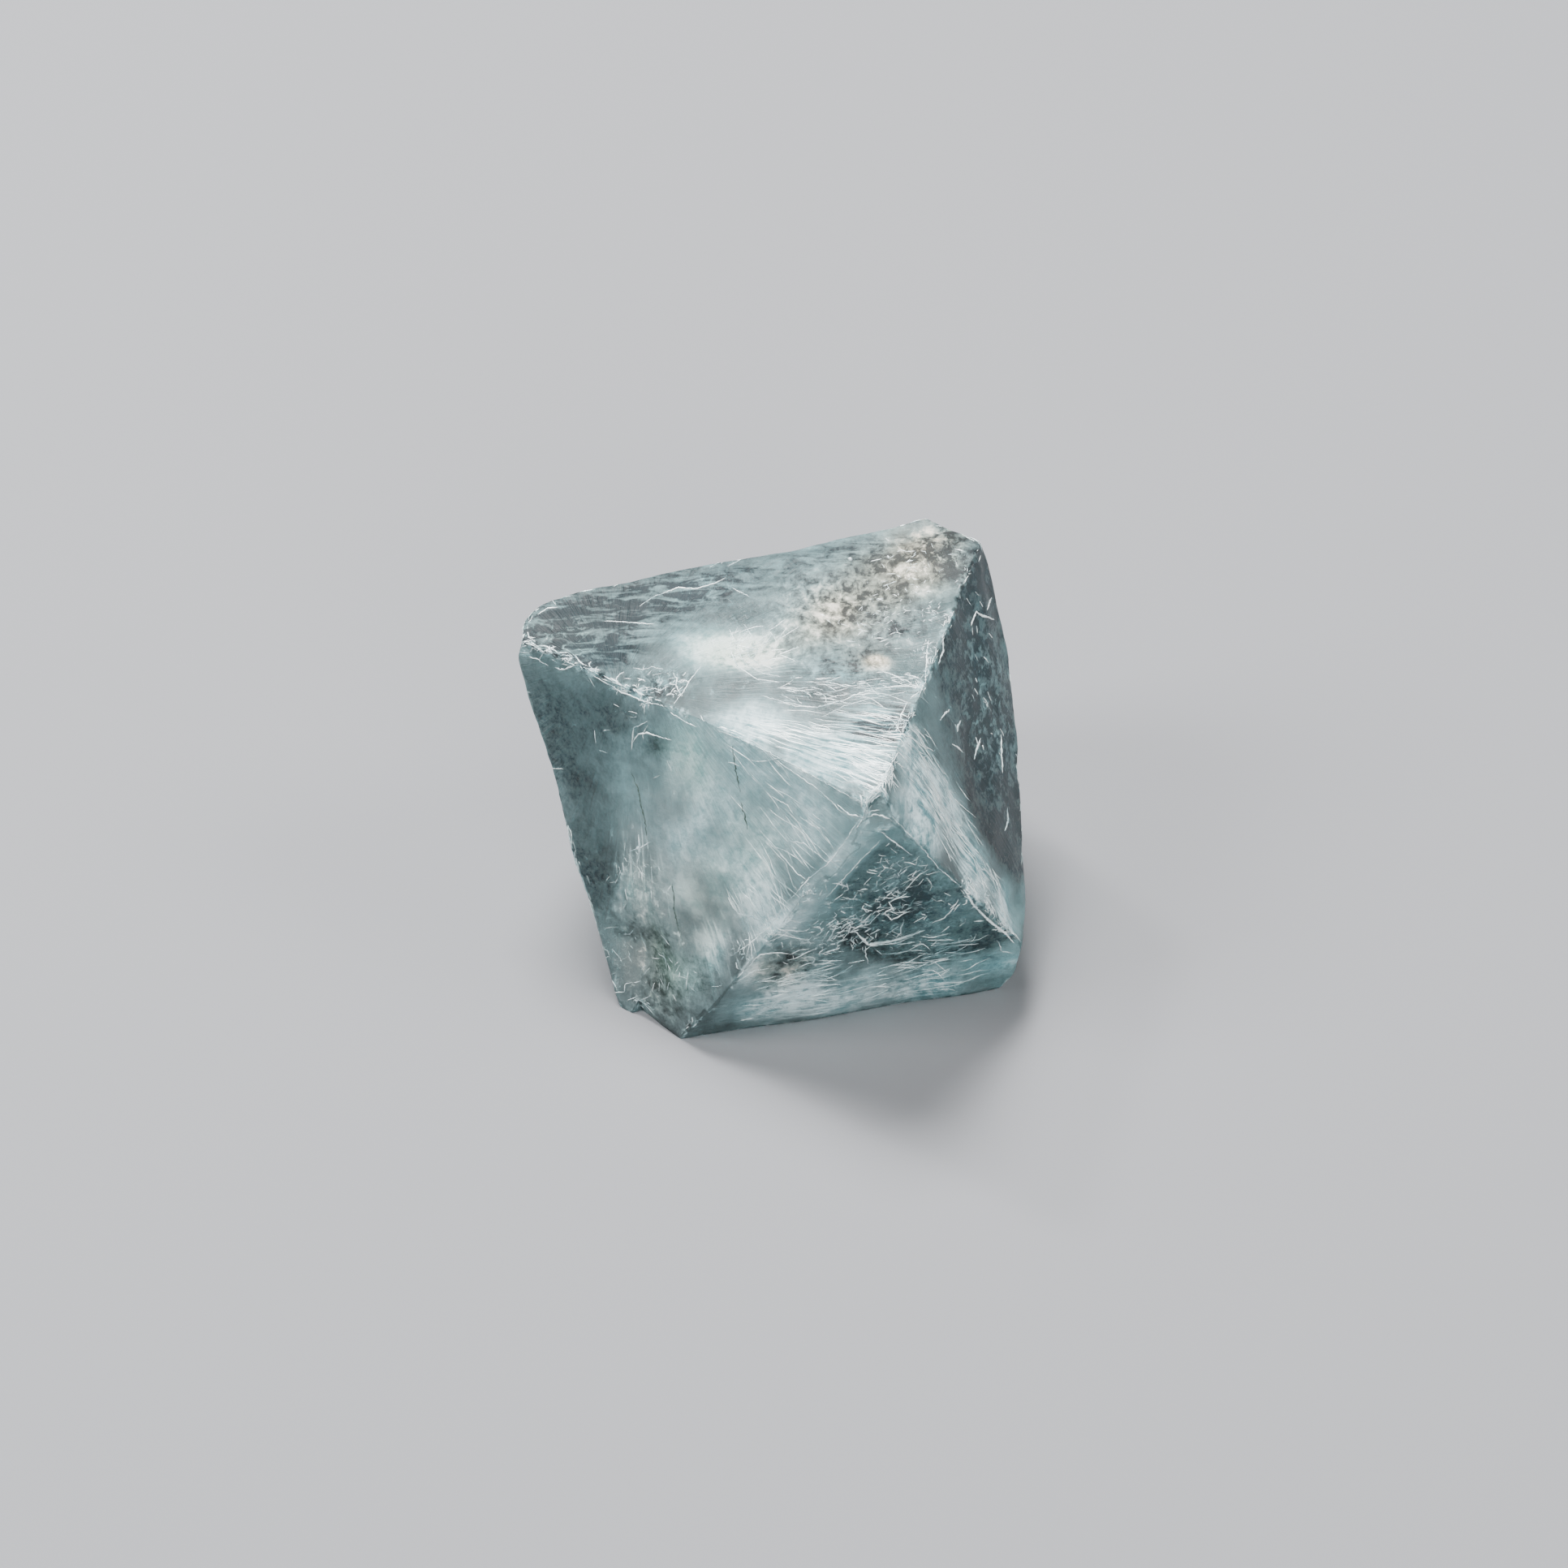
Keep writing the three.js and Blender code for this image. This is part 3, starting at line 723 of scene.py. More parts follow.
def etched_fluorite():
    """The clear stone under its frost, from the fields painted above."""
    stone = new_material("fluorite_etched_frosty")
    felt = {name: node(stone, "Attribute", {}, "Fac", attribute_name=name) for name in fields}
    along_grain = node(stone, "Attribute", {}, "Vector", attribute_name="grain")
    in_metres = node(stone, "TexCoord", {}, "Object")
    where = node(stone, "Mapping", {"Vector": in_metres, "Scale": tuple(STRETCH / MM)})
    combed = node(stone, "Mapping", {"Vector": along_grain, "Scale": (1 / COMB[0], 1 / COMB[1], 1)})
    level = {"Rotation": BAND_TURN, "Scale": [1 / (size * MM) for size in BAND]}
    banded = node(stone, "Mapping", {"Vector": in_metres, **level})

    drift = node(stone, "TexNoise", {"Vector": where, "Scale": 1 / CLOUD, "Detail": 3.0})
    pitted = {"Scale": 1 / PIT, "Detail": 7.0, "Roughness": 0.68, "Distortion": 0.3}
    mottle = node(stone, "TexNoise", {"Vector": where, **pitted})
    fine = node(stone, "TexNoise", {"Vector": where, "Scale": 1 / GRIT, "Detail": 3.0})
    streaky = {"Scale": 1.0, "Detail": 3.0, "Roughness": 0.6, "Distortion": 0.3}
    streaks = node(stone, "TexNoise", {"Vector": combed, **streaky})
    layered = {"Scale": 1.0, "Detail": 4.0, "Roughness": 0.6, "Distortion": 1.2}
    bands = node(stone, "TexNoise", {"Vector": banded, **layered})

    # Lace: thin white walls between etched cells, wavy and broken.
    rippled = {"Vector": where, "Scale": 1 / CELL_WAVE, "Detail": 3.0}
    waves = node(stone, "TexNoise", rippled, "Color")
    wavy = node(stone, "VectorMath", {0: waves, 1: WAVINESS, 2: where}, **TIMES_PLUS)
    celled = {"Vector": wavy, "Scale": 1 / CELL}
    to_wall = node(stone, "TexVoronoi", celled, "Distance", feature="DISTANCE_TO_EDGE")
    wall = node(stone, "MapRange", {"Value": to_wall, "From Min": 0.07, "From Max": 0.015})
    whole = node(stone, "MapRange", {"Value": mottle, "From Min": 0.46, "From Max": 0.56})
    lace = node(stone, "Math", {0: wall, 1: whole}, **TIMES)
    lace = node(stone, "Math", {0: lace, 1: felt["lace"]}, **TIMES)

    # Each kind of white is where its noise, helped by its field, passes a threshold.
    whites = [(0.15, 1.0), (lace, 0.7), (felt["pits"], 0.55), (felt["bands"], 0.5)]
    for name, noise_of, help_of, start, full, strength in (
        ("milk", drift, 0.9, 0.42, 1.1, 1.0),
        ("silk", streaks, 0.32, 0.6, 0.86, 0.8),
        ("pits", mottle, 0.26, 0.6, 0.84, 0.75),
        ("bruise", mottle, 0.4, 0.6, 0.76, 0.75),
    ):
        height = node(stone, "Math", {0: felt[name], 1: help_of, 2: noise_of}, **TIMES_PLUS)
        span = {"Value": height, "From Min": start, "From Max": full}
        whites.append((node(stone, "MapRange", span, **SOFTLY), strength))
    kept = 1.0
    for white, strength in whites:
        let_by = node(stone, "Math", {0: white, 1: -strength, 2: 1.0}, **TIMES_PLUS)
        kept = node(stone, "Math", {0: kept, 1: let_by}, **TIMES)
    frost = node(stone, "Math", {0: 1.0, 1: kept}, operation="SUBTRACT")

    # The tone runs from -1, dark, to 1, bright, and carries the painted light and the painted shade.
    # The painted light is livelier in some places than in others, and the pits, the silk and the
    # bands make the tone change quickly: each by its noise, where it is, from which noise to which,
    # and from which tone to which.
    span = {"From Min": 0.35, "From Max": 0.65, "To Min": 0.45, "To Max": 1.25}
    lively = node(stone, "MapRange", {"Value": mottle, **span})
    tone = node(stone, "Math", {0: felt["painted_light_and_pale_patches"], 1: lively}, **TIMES)
    tone = node(stone, "Math", {0: tone, 1: felt["painted_shade_and_dark_patches"]}, operation="SUBTRACT")
    tone = node(stone, "Math", {0: lace, 1: 1.6, 2: tone}, **TIMES_PLUS)
    for noise_of, share, low_noise, high_noise, low_tone, high_tone in (
        (mottle, felt["pits"], 0.33, 0.68, -0.9, 0.95),
        (streaks, felt["silk"], 0.38, 0.62, -0.75, 0.75),
        (bands, felt["bands"], 0.32, 0.74, -0.55, 0.8),
        (mottle, felt["bruise"], 0.42, 0.58, -0.5, 0.8),
        (mottle, 1.0, 0.35, 0.65, -0.15, 0.15),
        (fine, 1.0, 0.35, 0.65, -0.07, 0.07),
        (drift, 1.0, 0.35, 0.65, -0.09, 0.09),
    ):
        span = {"From Min": low_noise, "From Max": high_noise, "To Min": low_tone, "To Max": high_tone}
        change = node(stone, "MapRange", {"Value": noise_of, **span}, **SOFTLY)
        tone = node(stone, "Math", {0: change, 1: share, 2: tone}, **TIMES_PLUS)
    # Bright is where the painted light and the paler grains lift the tone, dark where the painted shade
    # and the darker grains lower it.
    bright = node(stone, "Math", {0: tone, 1: 1.0}, use_clamp=True, **TIMES)
    dark = node(stone, "Math", {0: tone, 1: -1.0}, use_clamp=True, **TIMES)

    # The tints of the frost are cool, warm or green, and those of the clear stone are cool. Their
    # bright and dark tints are lit and shaded copies: painted light and painted shade, as well as the
    # paler and darker grains of the frost.
    frosted = []
    for plain, shaded, lit in (COOL_FROST, WARM_FROST):
        tint = node(stone, "Mix", {0: dark, 6: linear(plain), 7: linear(shaded)}, **COLOURS)
        frosted.append(node(stone, "Mix", {0: bright, 6: tint, 7: linear(lit)}, **COLOURS))
    frosted = node(stone, "Mix", {0: felt["warmth"], 6: frosted[0], 7: frosted[1]}, **COLOURS)
    plain, lit = GREEN_FROST
    greened = node(stone, "Mix", {0: bright, 6: linear(plain), 7: linear(lit)}, **COLOURS)
    share = node(stone, "Math", {0: felt["green"], 1: GREEN_SHARE}, **TIMES)
    frosted = node(stone, "Mix", {0: share, 6: frosted, 7: greened}, **COLOURS)
    clear = node(stone, "Mix", {0: dark, 6: linear(CLEAR), 7: linear(CLEAR_DARK)}, **COLOURS)
    colour = node(stone, "Mix", {0: frost, 6: clear, 7: frosted}, **COLOURS)

    lumps = 0.0
    for pattern, share in ((mottle, 0.7), (fine, 0.16), (streaks, 0.9), (lace, 0.5)):
        lumps = node(stone, "Math", {0: pattern, 1: share, 2: lumps}, **TIMES_PLUS)
    lumpy = {"Strength": 0.8, "Distance": BUMP_HEIGHT * MM, "Height": lumps}
    see_through = node(stone, "Math", {0: frost, 1: -FROST_HIDES, 2: 1.0}, **TIMES_PLUS)
    span = {"From Max": 0.8, "To Min": CLEAR_DULLNESS, "To Max": FROST_DULLNESS}
    dullness = node(stone, "MapRange", {"Value": frost, **span})
    look = {
        "Base Color": colour,
        "Roughness": dullness,
        "IOR": FLUORITE_IOR,
        "Specular IOR Level": GLOSS_LEVEL,
        "Transmission Weight": see_through,
        "Normal": node(stone, "Bump", lumpy),
    }
    shader = node(stone, "BsdfPrincipled", look)
    body = {"Color": linear(BODY_TINT), "Density": BODY_DENSITY}
    tint = node(stone, "VolumeAbsorption", body)
    node(stone, "OutputMaterial", {"Surface": shader, "Volume": tint})
    return stone


crystal.data.materials.append(etched_fluorite())


# --- Etch lines ---
# Thin raised lines of frost that the etching left standing on the faces: sharp-edged little walls,
# a few hundredths of a millimetre high, with loose bruised flakes along the crystal's ridges.

STEP = 0.11  # between the points of a line
KINK_CHANCE, STRAIGHT = 0.18, 0.06  # where a line has no kink it still turns a little
WAVER = 0.015
SUNK = 0.02  # how far a line's foot is under the face
HEIGHT_SHARE = 0.5  # a line's height as a share of its width
UNEVEN = (0.6, 1.4)  # its width as a share of what it should be
TIP = 0.4  # how blunt its ends are
chance = random.Random(7)
line_points, line_triangles = [], []


def on_surface(spot):
    """The nearest point of the crystal's surface, and the way the surface looks there."""
    near, way, _, _ = surface.find_nearest(Vector(spot))
    return near, way


def add_line(route, width):
    """A thin ridge along points of the surface, three-sided and tapered at both ends."""
    first = len(line_points)
    last = len(route) - 1
    for i, (spot, way) in enumerate(route):
        ahead = (route[min(i + 1, last)][0] - route[max(i - 1, 0)][0]).normalized()
        side = ahead.cross(way).normalized()
        share = math.sqrt(math.sin(math.pi * (i + TIP) / (last + 2 * TIP)))
        half = 0.5 * width * share * chance.uniform(*UNEVEN)
        foot = spot - SUNK * way
        line_points.extend([foot - half * side, foot + half * side])
        line_points.append(spot + (2 * half * HEIGHT_SHARE) * way)
    for i in range(last):
        here, there = first + 3 * i, first + 3 * i + 3
        for j, k in ((0, 2), (2, 1), (1, 0)):
            line_triangles.append((here + j, there + j, here + k))
            line_triangles.append((there + j, there + k, here + k))
    line_triangles.append((first, first + 2, first + 1))
    end = first + 3 * last
    line_triangles.append((end, end + 1, end + 2))


def wander(start, heading, length, kink):
    """A route over the surface from a point, straight but for a kink here and there."""
    spot, way = on_surface(start)
    heading = Vector(heading)
    route = [(spot, way)]
    for _ in range(max(2, round(length / STEP))):
        turn = chance.gauss(0, kink if chance.random() < KINK_CHANCE else STRAIGHT)
        heading = heading + turn * way.cross(heading)
        heading = (heading - heading.dot(way) * way).normalized()
        spot, way = on_surface(spot + STEP * heading)
        route.append((spot, way))
    return route


def drawn(pixels, waver=WAVER):
    """A route over the surface through pixels of the picture."""
    corners = [Vector(seen_at(*pixel)) for pixel in pixels]
    route = []
    for near, far in zip(corners, corners[1:]):
        steps = max(1, round((far - near).length / STEP))
        for i in range(steps):
            shift = Vector([chance.gauss(0, waver) for _ in range(3)])
            route.append(on_surface(near.lerp(far, i / steps) + shift))
    route.append(on_surface(corners[-1]))
    return route


# Lines that stand out by themselves: each by its width in mm and its pixels.
DRAWN_LINES = {
    "V on the front": [
        (0.17, (1053, 1147), (1070, 1164), (1106, 1158), (1134, 1148)),
        (0.11, (1098, 1159), (1118, 1153), (1140, 1146)),
        (0.08, (1067, 1166), (1066, 1174), (1070, 1188)),
        (0.07, (1072, 1166), (1104, 1162), (1118, 1157)),
    ],
    "front hook": [
        (0.11, (1030, 1141), (1024, 1153), (1019, 1161)),
        (0.09, (1043, 1135), (1048, 1141), (1045, 1151)),
    ],
    "front": [
        (0.1, (1095, 1111), (1101, 1123)),
        (0.07, (1095, 1112), (1106, 1106), (1122, 1104)),
        (0.09, (1090, 1125), (1098, 1133), (1106, 1130), (1117, 1123)),
        (0.07, (1059, 1141), (1070, 1139), (1079, 1130), (1084, 1125)),
        (0.06, (1112, 1101), (1119, 1092), (1133, 1077), (1145, 1071)),
        (0.08, (1181, 1108), (1171, 1123), (1163, 1131), (1147, 1138)),
        (0.09, (1087, 1026), (1106, 1041), (1124, 1054)),
    ],
    "corner": [
        (0.09, (1067, 1007), (1078, 1003), (1087, 1005), (1101, 1012)),
        (0.07, (1065, 1003), (1074, 999), (1084, 998)),
        (0.09, (1031, 991), (1045, 1003), (1060, 1006)),
    ],
    "foot arc": [
        (0.08, (922, 1191), (936, 1176), (952, 1174), (973, 1175)),
        (0.06, (907, 1210), (929, 1196), (948, 1193)),
    ],
    "ledge": [
        (0.09, (1124, 842), (1090, 848), (1053, 857), (1007, 872), (980, 870), (938, 857)),
        (0.06, (1118, 852), (1078, 860), (1040, 870), (1012, 884)),
    ],
    "patch": [
        (0.07, (758, 839), (762, 832), (769, 828)),
        (0.05, (780, 823), (792, 825), (803, 822), (817, 824)),
        (0.08, (729, 831), (766, 853), (792, 864), (825, 871)),
        (0.08, (829, 829), (834, 836), (833, 845), (836, 852)),
        (0.1, (840, 841), (844, 838), (848, 841)),
        (0.07, (830, 868), (842, 852), (850, 838), (865, 820)),
    ],
    "rim": [
        (0.07, (643, 787), (652, 785), (660, 791)),
        (0.1, (666, 795), (679, 799), (688, 805), (701, 804)),
        (0.08, (706, 806), (713, 813), (719, 820)),
        (0.07, (652, 809), (664, 813), (676, 821)),
        (0.1, (684, 822), (693, 825), (703, 822), (712, 817)),
    ],
    "back": [
        (0.08, (663, 757), (674, 750), (687, 737)),
        (0.08, (788, 747), (806, 735), (836, 724), (858, 726), (880, 719), (894, 712)),
        (0.05, (744, 765), (777, 767), (806, 769)),
        (0.06, (902, 724), (924, 736)),
    ],
    "swirl": [
        (0.07, (904, 776), (900, 800), (909, 822), (933, 837), (961, 841)),
        (0.06, (912, 776), (909, 800), (918, 818), (940, 830), (962, 834)),
        (0.05, (920, 790), (922, 806), (934, 818), (952, 824)),
    ],
    "left": [
        (0.09, (778, 917), (787, 905), (798, 903), (812, 908), (828, 912)),
        (0.08, (778, 924), (781, 896), (798, 889)),
        (0.08, (826, 878), (840, 887), (858, 896)),
    ],
    "left hairs": [
        (0.06, (897, 940), (905, 941), (911, 944)),
        (0.06, (948, 980), (970, 992), (978, 1004)),
        (0.08, (936, 994), (952, 1016), (970, 1037), (990, 1039), (1004, 1050), (1021, 1063)),
        (0.07, (986, 1007), (999, 1016), (1013, 1022)),
        (0.06, (970, 1012), (985, 1022), (990, 1028)),
        (0.07, (945, 1036), (964, 1055), (980, 1074), (993, 1084)),
        (0.05, (988, 1058), (996, 1064), (1004, 1071)),
        (0.07, (946, 1066), (951, 1084), (958, 1100), (965, 1119)),
        (0.05, (965, 1084), (970, 1099), (977, 1108)),
        (0.08, (914, 1099), (924, 1108), (934, 1125), (947, 1139)),
        (0.07, (907, 1125), (927, 1130), (943, 1140)),
        (0.06, (921, 1094), (936, 1106), (940, 1123)),
    ],
    # A star of white frost lines, drawn wide to stand in for a glint there too: partly a painted glint.
    "star": [
        (0.12, (787, 1028), (789, 1046), (785, 1064)),
        (0.09, (774, 1050), (788, 1045), (802, 1037)),
    ],
    "bevels": [
        (0.06, (878, 898), (916, 912), (980, 944), (1021, 967), (1062, 990)),
        (0.05, (934, 917), (961, 940), (1007, 972), (1035, 999), (1058, 1009)),
        (0.05, (1086, 1034), (1060, 1060), (1034, 1088), (1018, 1106)),
        (0.07, (1060, 1009), (1031, 1051), (1019, 1065), (995, 1084), (965, 1118)),
        (0.07, (965, 1118), (948, 1142), (924, 1162), (900, 1179)),
    ],
    "right ridge": [
        (0.07, (1101, 1012), (1118, 1026), (1139, 1048), (1157, 1070), (1188, 1096)),
        (0.16, (1188, 1096), (1200, 1116), (1222, 1137), (1239, 1150), (1250, 1163)),
        (0.08, (1229, 1158), (1234, 1172), (1248, 1174)),
        (0.13, (1144, 788), (1142, 812), (1140, 843)),
        (0.09, (1118, 864), (1110, 882), (1104, 902)),
    ],
    "right": [
        (0.12, (1196, 771), (1203, 754), (1211, 759), (1225, 764)),
        (0.09, (1216, 752), (1219, 742), (1222, 736)),
        (0.1, (1161, 785), (1162, 802), (1156, 819)),
    ],
    "right dashes": [
        (0.1, (1170, 874), (1163, 881), (1158, 888)),
        (0.11, (1184, 888), (1180, 895), (1179, 902)),
        (0.1, (1173, 917), (1180, 921), (1187, 928)),
        (0.12, (1208, 909), (1203, 924), (1200, 936)),
        (0.11, (1233, 905), (1234, 932), (1235, 953)),
        (0.12, (1241, 995), (1242, 1010), (1238, 1024)),
    ],
    # Painted glints: short wide white lines where small highlights shine.
    "painted_glints": [
        (0.2, (1046, 689), (1049, 691)),
        (0.14, (1093, 685), (1096, 688)),
        (0.2, (786, 1043), (788, 1048)),
    ],
}
for width, *pixels in every(DRAWN_LINES):
    add_line(drawn(pixels), width)

# Families of lines: the spots where they start, how many there are, their lengths and widths in
# mm, their angle from the grain in degrees and how much they waver.
FRONT_SPOTS = [
    (1082, 1062, 1.6, 1), (1115, 1085, 1.6, 1), (1050, 1100, 1.6, 1), (1085, 1115, 1.6, 1),
    (1130, 1120, 1.6, 1), (1045, 1140, 1.6, 1), (1090, 1155, 1.6, 1), (1135, 1155, 1.4, 0.7),
    (1165, 1115, 1.4, 0.7), (1185, 1150, 1.4, 0.4),
]
RIGHT_RIDGE = [(1152, 755, 0.9, 1), (1140, 800, 0.9, 1), (1128, 842, 0.9, 1), (1106, 895, 0.9, 1)]
RIM = [(652, 788, 0.7, 1), (675, 800, 0.7, 1), (700, 812, 0.7, 1), (722, 824, 0.6, 1)]
PATCH_RIM = [(766, 846, 0.5, 1), (795, 862, 0.6, 1), (828, 856, 0.6, 1), (836, 838, 0.4, 1)]
RIDGE_FOOT = [(1190, 1092, 0.8, 1), (1213, 1113, 0.8, 1), (1234, 1140, 0.8, 1)]
LEDGE = [(1100, 838, 1.1, 1), (1060, 848, 1.1, 1), (1015, 848, 1.3, 1), (978, 845, 1.1, 1)]
BEVEL_EDGE = [(990, 1098, 0.8, 1), (952, 1144, 0.9, 1), (914, 1176, 0.9, 1)]
LINE_FAMILIES = [
    ("left hairs", [(925, 955, 2.6, 1), (960, 1020, 2.6, 1)], 34, (0.9, 3.0), (0.03, 0.06), 4, 0.15),
    ("left hairs, lower", [(925, 1100, 2.4, 1)], 32, (0.6, 2.2), (0.03, 0.06), 9, 0.2),
    ("left wisps", [(790, 900, 2.4, 1), (740, 870, 2.4, 0.4)], 10, (0.3, 0.8), (0.03, 0.05), 60, 0.5),
    ("fan", [(1060, 880, 2.6, 1), (1050, 930, 2.6, 1)], 90, (0.7, 2.4), (0.03, 0.05), 6, 0.15),
    ("fan, bold", [(1060, 875, 2.2, 1), (1060, 930, 2.2, 1)], 26, (1.2, 2.8), (0.06, 0.09), 5, 0.2),
    ("fan, left part", [(950, 900, 2.6, 1)], 50, (0.8, 2.2), (0.03, 0.05), 7, 0.15),
    ("patch", [(810, 848, 1.8, 1)], 36, (0.15, 0.5), (0.02, 0.05), 70, 0.9),
    ("pearly swirl", [(925, 800, 2.2, 1)], 50, (0.4, 1.4), (0.03, 0.05), 30, 0.3),
    ("corner pits", [(1120, 700, 3.4, 1), (1080, 770, 3.0, 1)], 110, (0.15, 0.5), (0.02, 0.05), 90, 0.9),
    ("front scribble", FRONT_SPOTS, 190, (0.15, 0.7), (0.025, 0.045), 90, 0.9),
    ("front, left part", [(1020, 1155, 2.6, 1)], 90, (0.15, 0.7), (0.025, 0.05), 70, 0.9),
    ("foot band", [(960, 1230, 3.0, 1), (1110, 1205, 4.0, 0.8)], 110, (0.5, 1.8), (0.03, 0.06), 8, 0.25),
    ("right silk", [(1130, 930, 2.6, 1), (1165, 1000, 2.6, 1)], 150, (0.5, 1.8), (0.03, 0.06), 9, 0.2),
    ("right silk, foot", [(1215, 1090, 2.4, 1)], 80, (0.4, 1.4), (0.03, 0.06), 12, 0.3),
    ("right dashes", [(1215, 880, 4.5, 1), (1205, 780, 3.4, 0.7)], 24, (0.2, 0.5), (0.03, 0.06), 30, 0.4),
    ("left foot", [(790, 1190, 2.6, 1), (850, 1190, 2.6, 0.8)], 44, (0.2, 0.8), (0.02, 0.045), 60, 0.6),
    ("left frost", [(785, 1075, 2.4, 1)], 26, (0.2, 0.8), (0.02, 0.045), 30, 0.5),
    ("rim crumbs", RIM, 44, (0.12, 0.4), (0.03, 0.065), 60, 0.9),
    ("patch, rim", PATCH_RIM, 50, (0.1, 0.3), (0.03, 0.06), 90, 0.9),
    ("ridge foot crumbs", RIDGE_FOOT, 60, (0.1, 0.4), (0.03, 0.07), 60, 0.9),
    ("ledge", LEDGE, 70, (0.2, 0.9), (0.03, 0.05), 22, 0.5),
    ("right ridge crumbs", RIGHT_RIDGE, 90, (0.1, 0.35), (0.03, 0.06), 90, 0.9),
    ("bevel crumbs", BEVEL_EDGE, 60, (0.1, 0.35), (0.03, 0.06), 90, 0.9),
    ("front scribble, bold", FRONT_SPOTS, 54, (0.2, 0.75), (0.05, 0.085), 90, 1.0),
]


def add_along_grain(start, lengths, widths, spread, turning):
    """A line that wanders off from a point of the crystal, at some angle to the grain there."""
    turn = math.radians(chance.gauss(0, spread))
    way, run = Vector(normals[start]), Vector(grain_way[start])
    heading = math.cos(turn) * run + math.sin(turn) * way.cross(run)
    route = wander(points[start], heading, chance.uniform(*lengths), turning)
    add_line(route, chance.uniform(*widths))


for _, spots, count, *habit in LINE_FAMILIES:
    for start in chance.choices(range(len(points)), weights=painted(spots).tolist(), k=count):
        add_along_grain(start, *habit)

# Flakes along the bruised ridges, clear of the floor: how many, how far they stray from the
# ridge in mm, their lengths and widths, and how much they waver.
FLAKES, FLAKE_STRAY = 900, 0.12
FLAKE_LENGTHS, FLAKE_WIDTHS, FLAKE_TURNING = (0.15, 0.7), (0.02, 0.06), 0.6
OFF_THE_FLOOR = 0.1
flaking = (fields["bruise"][ridges[:, 0]] ** 2).tolist()
for pair in chance.choices(ridges.tolist(), weights=flaking, k=FLAKES):
    near, far = (Vector(points[i]) for i in pair)
    stray = Vector([chance.gauss(0, FLAKE_STRAY) for _ in range(3)])
    if near.z > OFF_THE_FLOOR:
        route = wander(near + stray, far - near, chance.uniform(*FLAKE_LENGTHS), FLAKE_TURNING)
        add_line(route, chance.uniform(*FLAKE_WIDTHS))

# One more family, scattered over the standing faces that the lens doesn't see.
HIDDEN_LINES, HIDDEN_HABIT = 420, ((0.2, 1.1), (0.03, 0.06), 30, 0.7)
HIDDEN_FOOT = 0.3
standing = np.isin(face_of, HIDDEN_SIDES[:3]) & (points[:, 2] > HIDDEN_FOOT)
outer = np.flatnonzero(standing).tolist()
for start in chance.choices(outer, weights=fields["lace"][outer].tolist(), k=HIDDEN_LINES):
    add_along_grain(start, *HIDDEN_HABIT)


def lines_mesh(name):
    """A mesh of the lines added so far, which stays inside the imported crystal's box."""
    spots = np.clip(np.array([list(spot) for spot in line_points]), low, high)
    return mesh_from(name, spots, np.array(line_triangles))


etch_lines = place(lines_mesh("etch_lines"))
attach(etch_lines, "root")

FROST_GRAIN = 1 / 0.9  # in mm: really 0.01, drawn as coarse as it needs to be to show
FROST_TINTS = ("#7d9ba0", "#effbfa")
FROST_DULL, FROST_CLEAR = 0.45, 0.3


def line_frost():
    """Fluorite etched to a white frost: light scatters in it, so each line is a bright hair."""
    frost = new_material("fluorite_frost_white")
    in_metres = node(frost, "TexCoord", {}, "Object")
    grainy = {"Vector": in_metres, "Scale": 1 / (FROST_GRAIN * MM), "Detail": 3.0}
    grains = node(frost, "TexNoise", grainy)
    share = node(frost, "MapRange", {"Value": grains, "From Min": 0.35, "From Max": 0.6})
    thin, thick = (linear(tint) for tint in FROST_TINTS)
    look = {
        "Base Color": node(frost, "Mix", {0: share, 6: thin, 7: thick}, **COLOURS),
        "Roughness": FROST_DULL,
        "IOR": FLUORITE_IOR,
        "Transmission Weight": FROST_CLEAR,
    }
    node(frost, "OutputMaterial", {"Surface": node(frost, "BsdfPrincipled", look)})
    return frost


etch_lines.data.materials.append(line_frost())


# --- Hairline cracks ---
# Thin old cracks that come up to the left face. No light comes back from a crack seen edge-on, so
# each shows as a fine dark thread. They are drawn as wide as they need to be to show.

CRACK_WIDTH, CRACK_WAVER = 0.085, 0.02
CRACK_DARK, CRACK_DULLNESS = "#35443f", 0.5
CRACKS = [
    ("left", [(777, 949), (782, 961), (787, 974), (789, 990), (794, 1008), (797, 1030)]),
    ("left, foot", [(828, 1088), (831, 1106), (831, 1122), (835, 1140), (839, 1155)]),
    ("middle, upper", [(903, 917), (904, 931), (907, 952), (912, 976)]),
    ("middle, lower", [(913, 990), (918, 1006), (921, 1022)]),
]

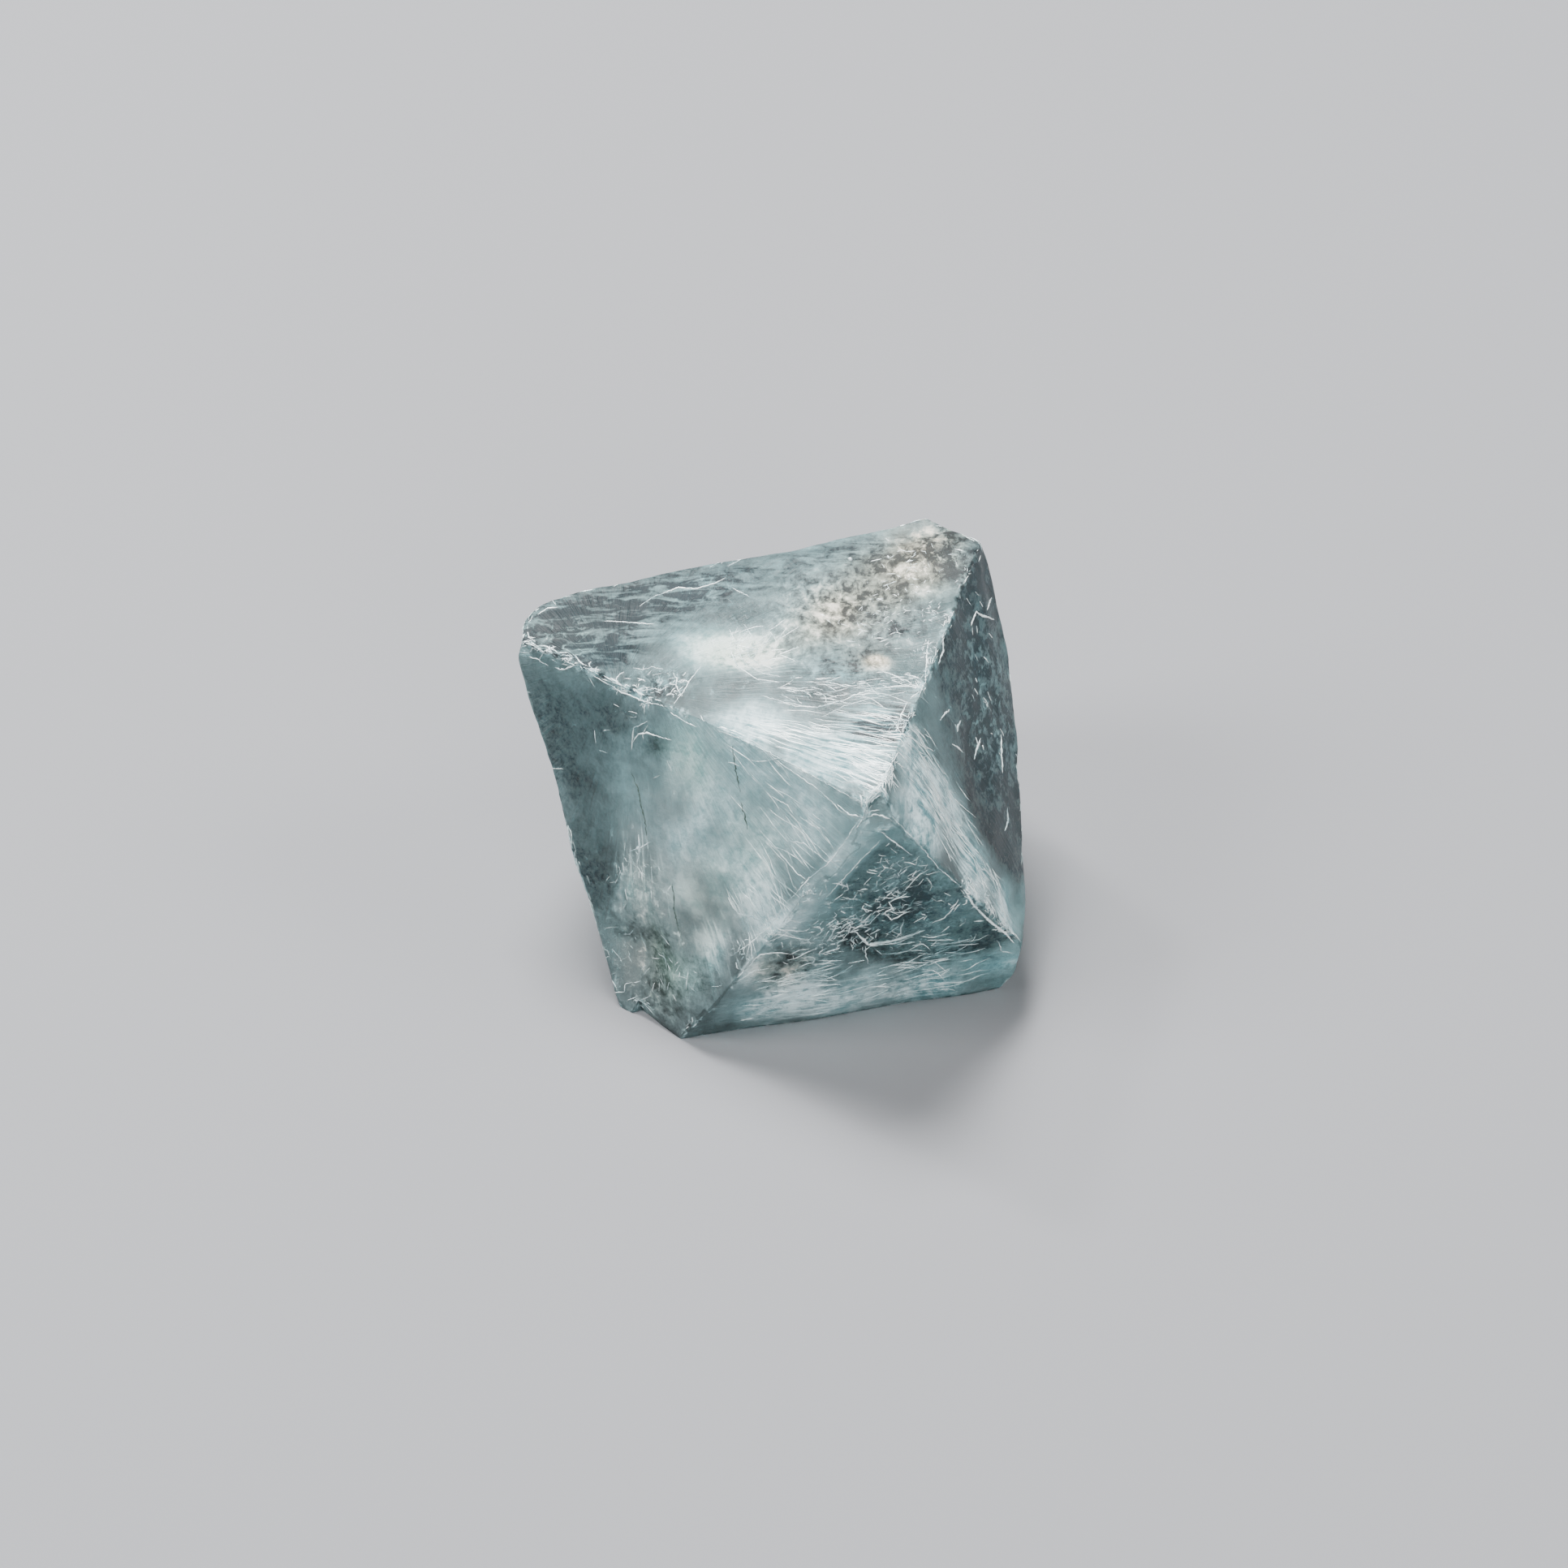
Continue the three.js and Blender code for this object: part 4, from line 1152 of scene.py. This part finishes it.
line_points, line_triangles = [], []
for _, pixels in CRACKS:
    add_line(drawn(pixels, CRACK_WAVER), CRACK_WIDTH)
cracks = place(lines_mesh("hairline_cracks"))
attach(cracks, "root")


def crack_shadow():
    """The inside of a crack in fluorite, painted dull and dark: painted shade, so that it shows as a
    thread.
    """
    shadow = new_material("fluorite_crack_dark")
    look = {"Base Color": linear(CRACK_DARK), "Roughness": CRACK_DULLNESS, "IOR": FLUORITE_IOR}
    node(shadow, "OutputMaterial", {"Surface": node(shadow, "BsdfPrincipled", look)})
    return shadow


cracks.data.materials.append(crack_shadow())


# --- The floor and the light ---
# A sheet of matt grey paper laid flat under the crystal, and five soft boxes round it. The main
# one is behind the crystal and above it, and the smallest makes the small bright glints.

FLOOR_REACH = 2  # each way from the crystal, in metres
PAPER, PAPER_DULLNESS = "#747578", 0.9
LIT_PLACE = Vector((0, 0, 7))  # the middle of the crystal, in mm
ROOM = "#656769"

floor = place(bpy.data.meshes.new("floor"))
sweep = bmesh.new()
bmesh.ops.create_grid(sweep, x_segments=1, y_segments=1, size=FLOOR_REACH)
sweep.to_mesh(floor.data)
sweep.free()
# Uncoated paper: its rough fibres give the eye an even ground with no gloss.
paper = new_material("matt_paper_pale_grey")
matt = node(paper, "BsdfPrincipled", {"Base Color": linear(PAPER), "Roughness": PAPER_DULLNESS})
node(paper, "OutputMaterial", {"Surface": matt})
floor.data.materials.append(paper)


def soft_box(name, place_mm, size_mm, power):
    """A square white lamp of a given size and power in watts that faces the crystal."""
    data = bpy.data.lights.new(name, "AREA")
    data.size = size_mm * MM
    data.energy = power
    lamp = place(data)
    lamp.location = Vector(place_mm) * MM
    lamp.rotation_euler = (LIT_PLACE - Vector(place_mm)).to_track_quat("-Z", "Y").to_euler()


soft_box("back_box", (-70, 190, 430), 180, 8.0)
soft_box("left_box", (-330, -120, 300), 200, 2.75)
soft_box("front_box", (90, -380, 130), 200, 1.8)
soft_box("right_box", (330, -60, 300), 160, 1.0)
soft_box("spark_box", (-170, 230, 300), 40, 0.8)
room = bpy.data.worlds.new("room")
bpy.context.scene.world = room
room.use_nodes = True
room.node_tree.nodes["Background"].inputs["Color"].default_value = linear(ROOM)
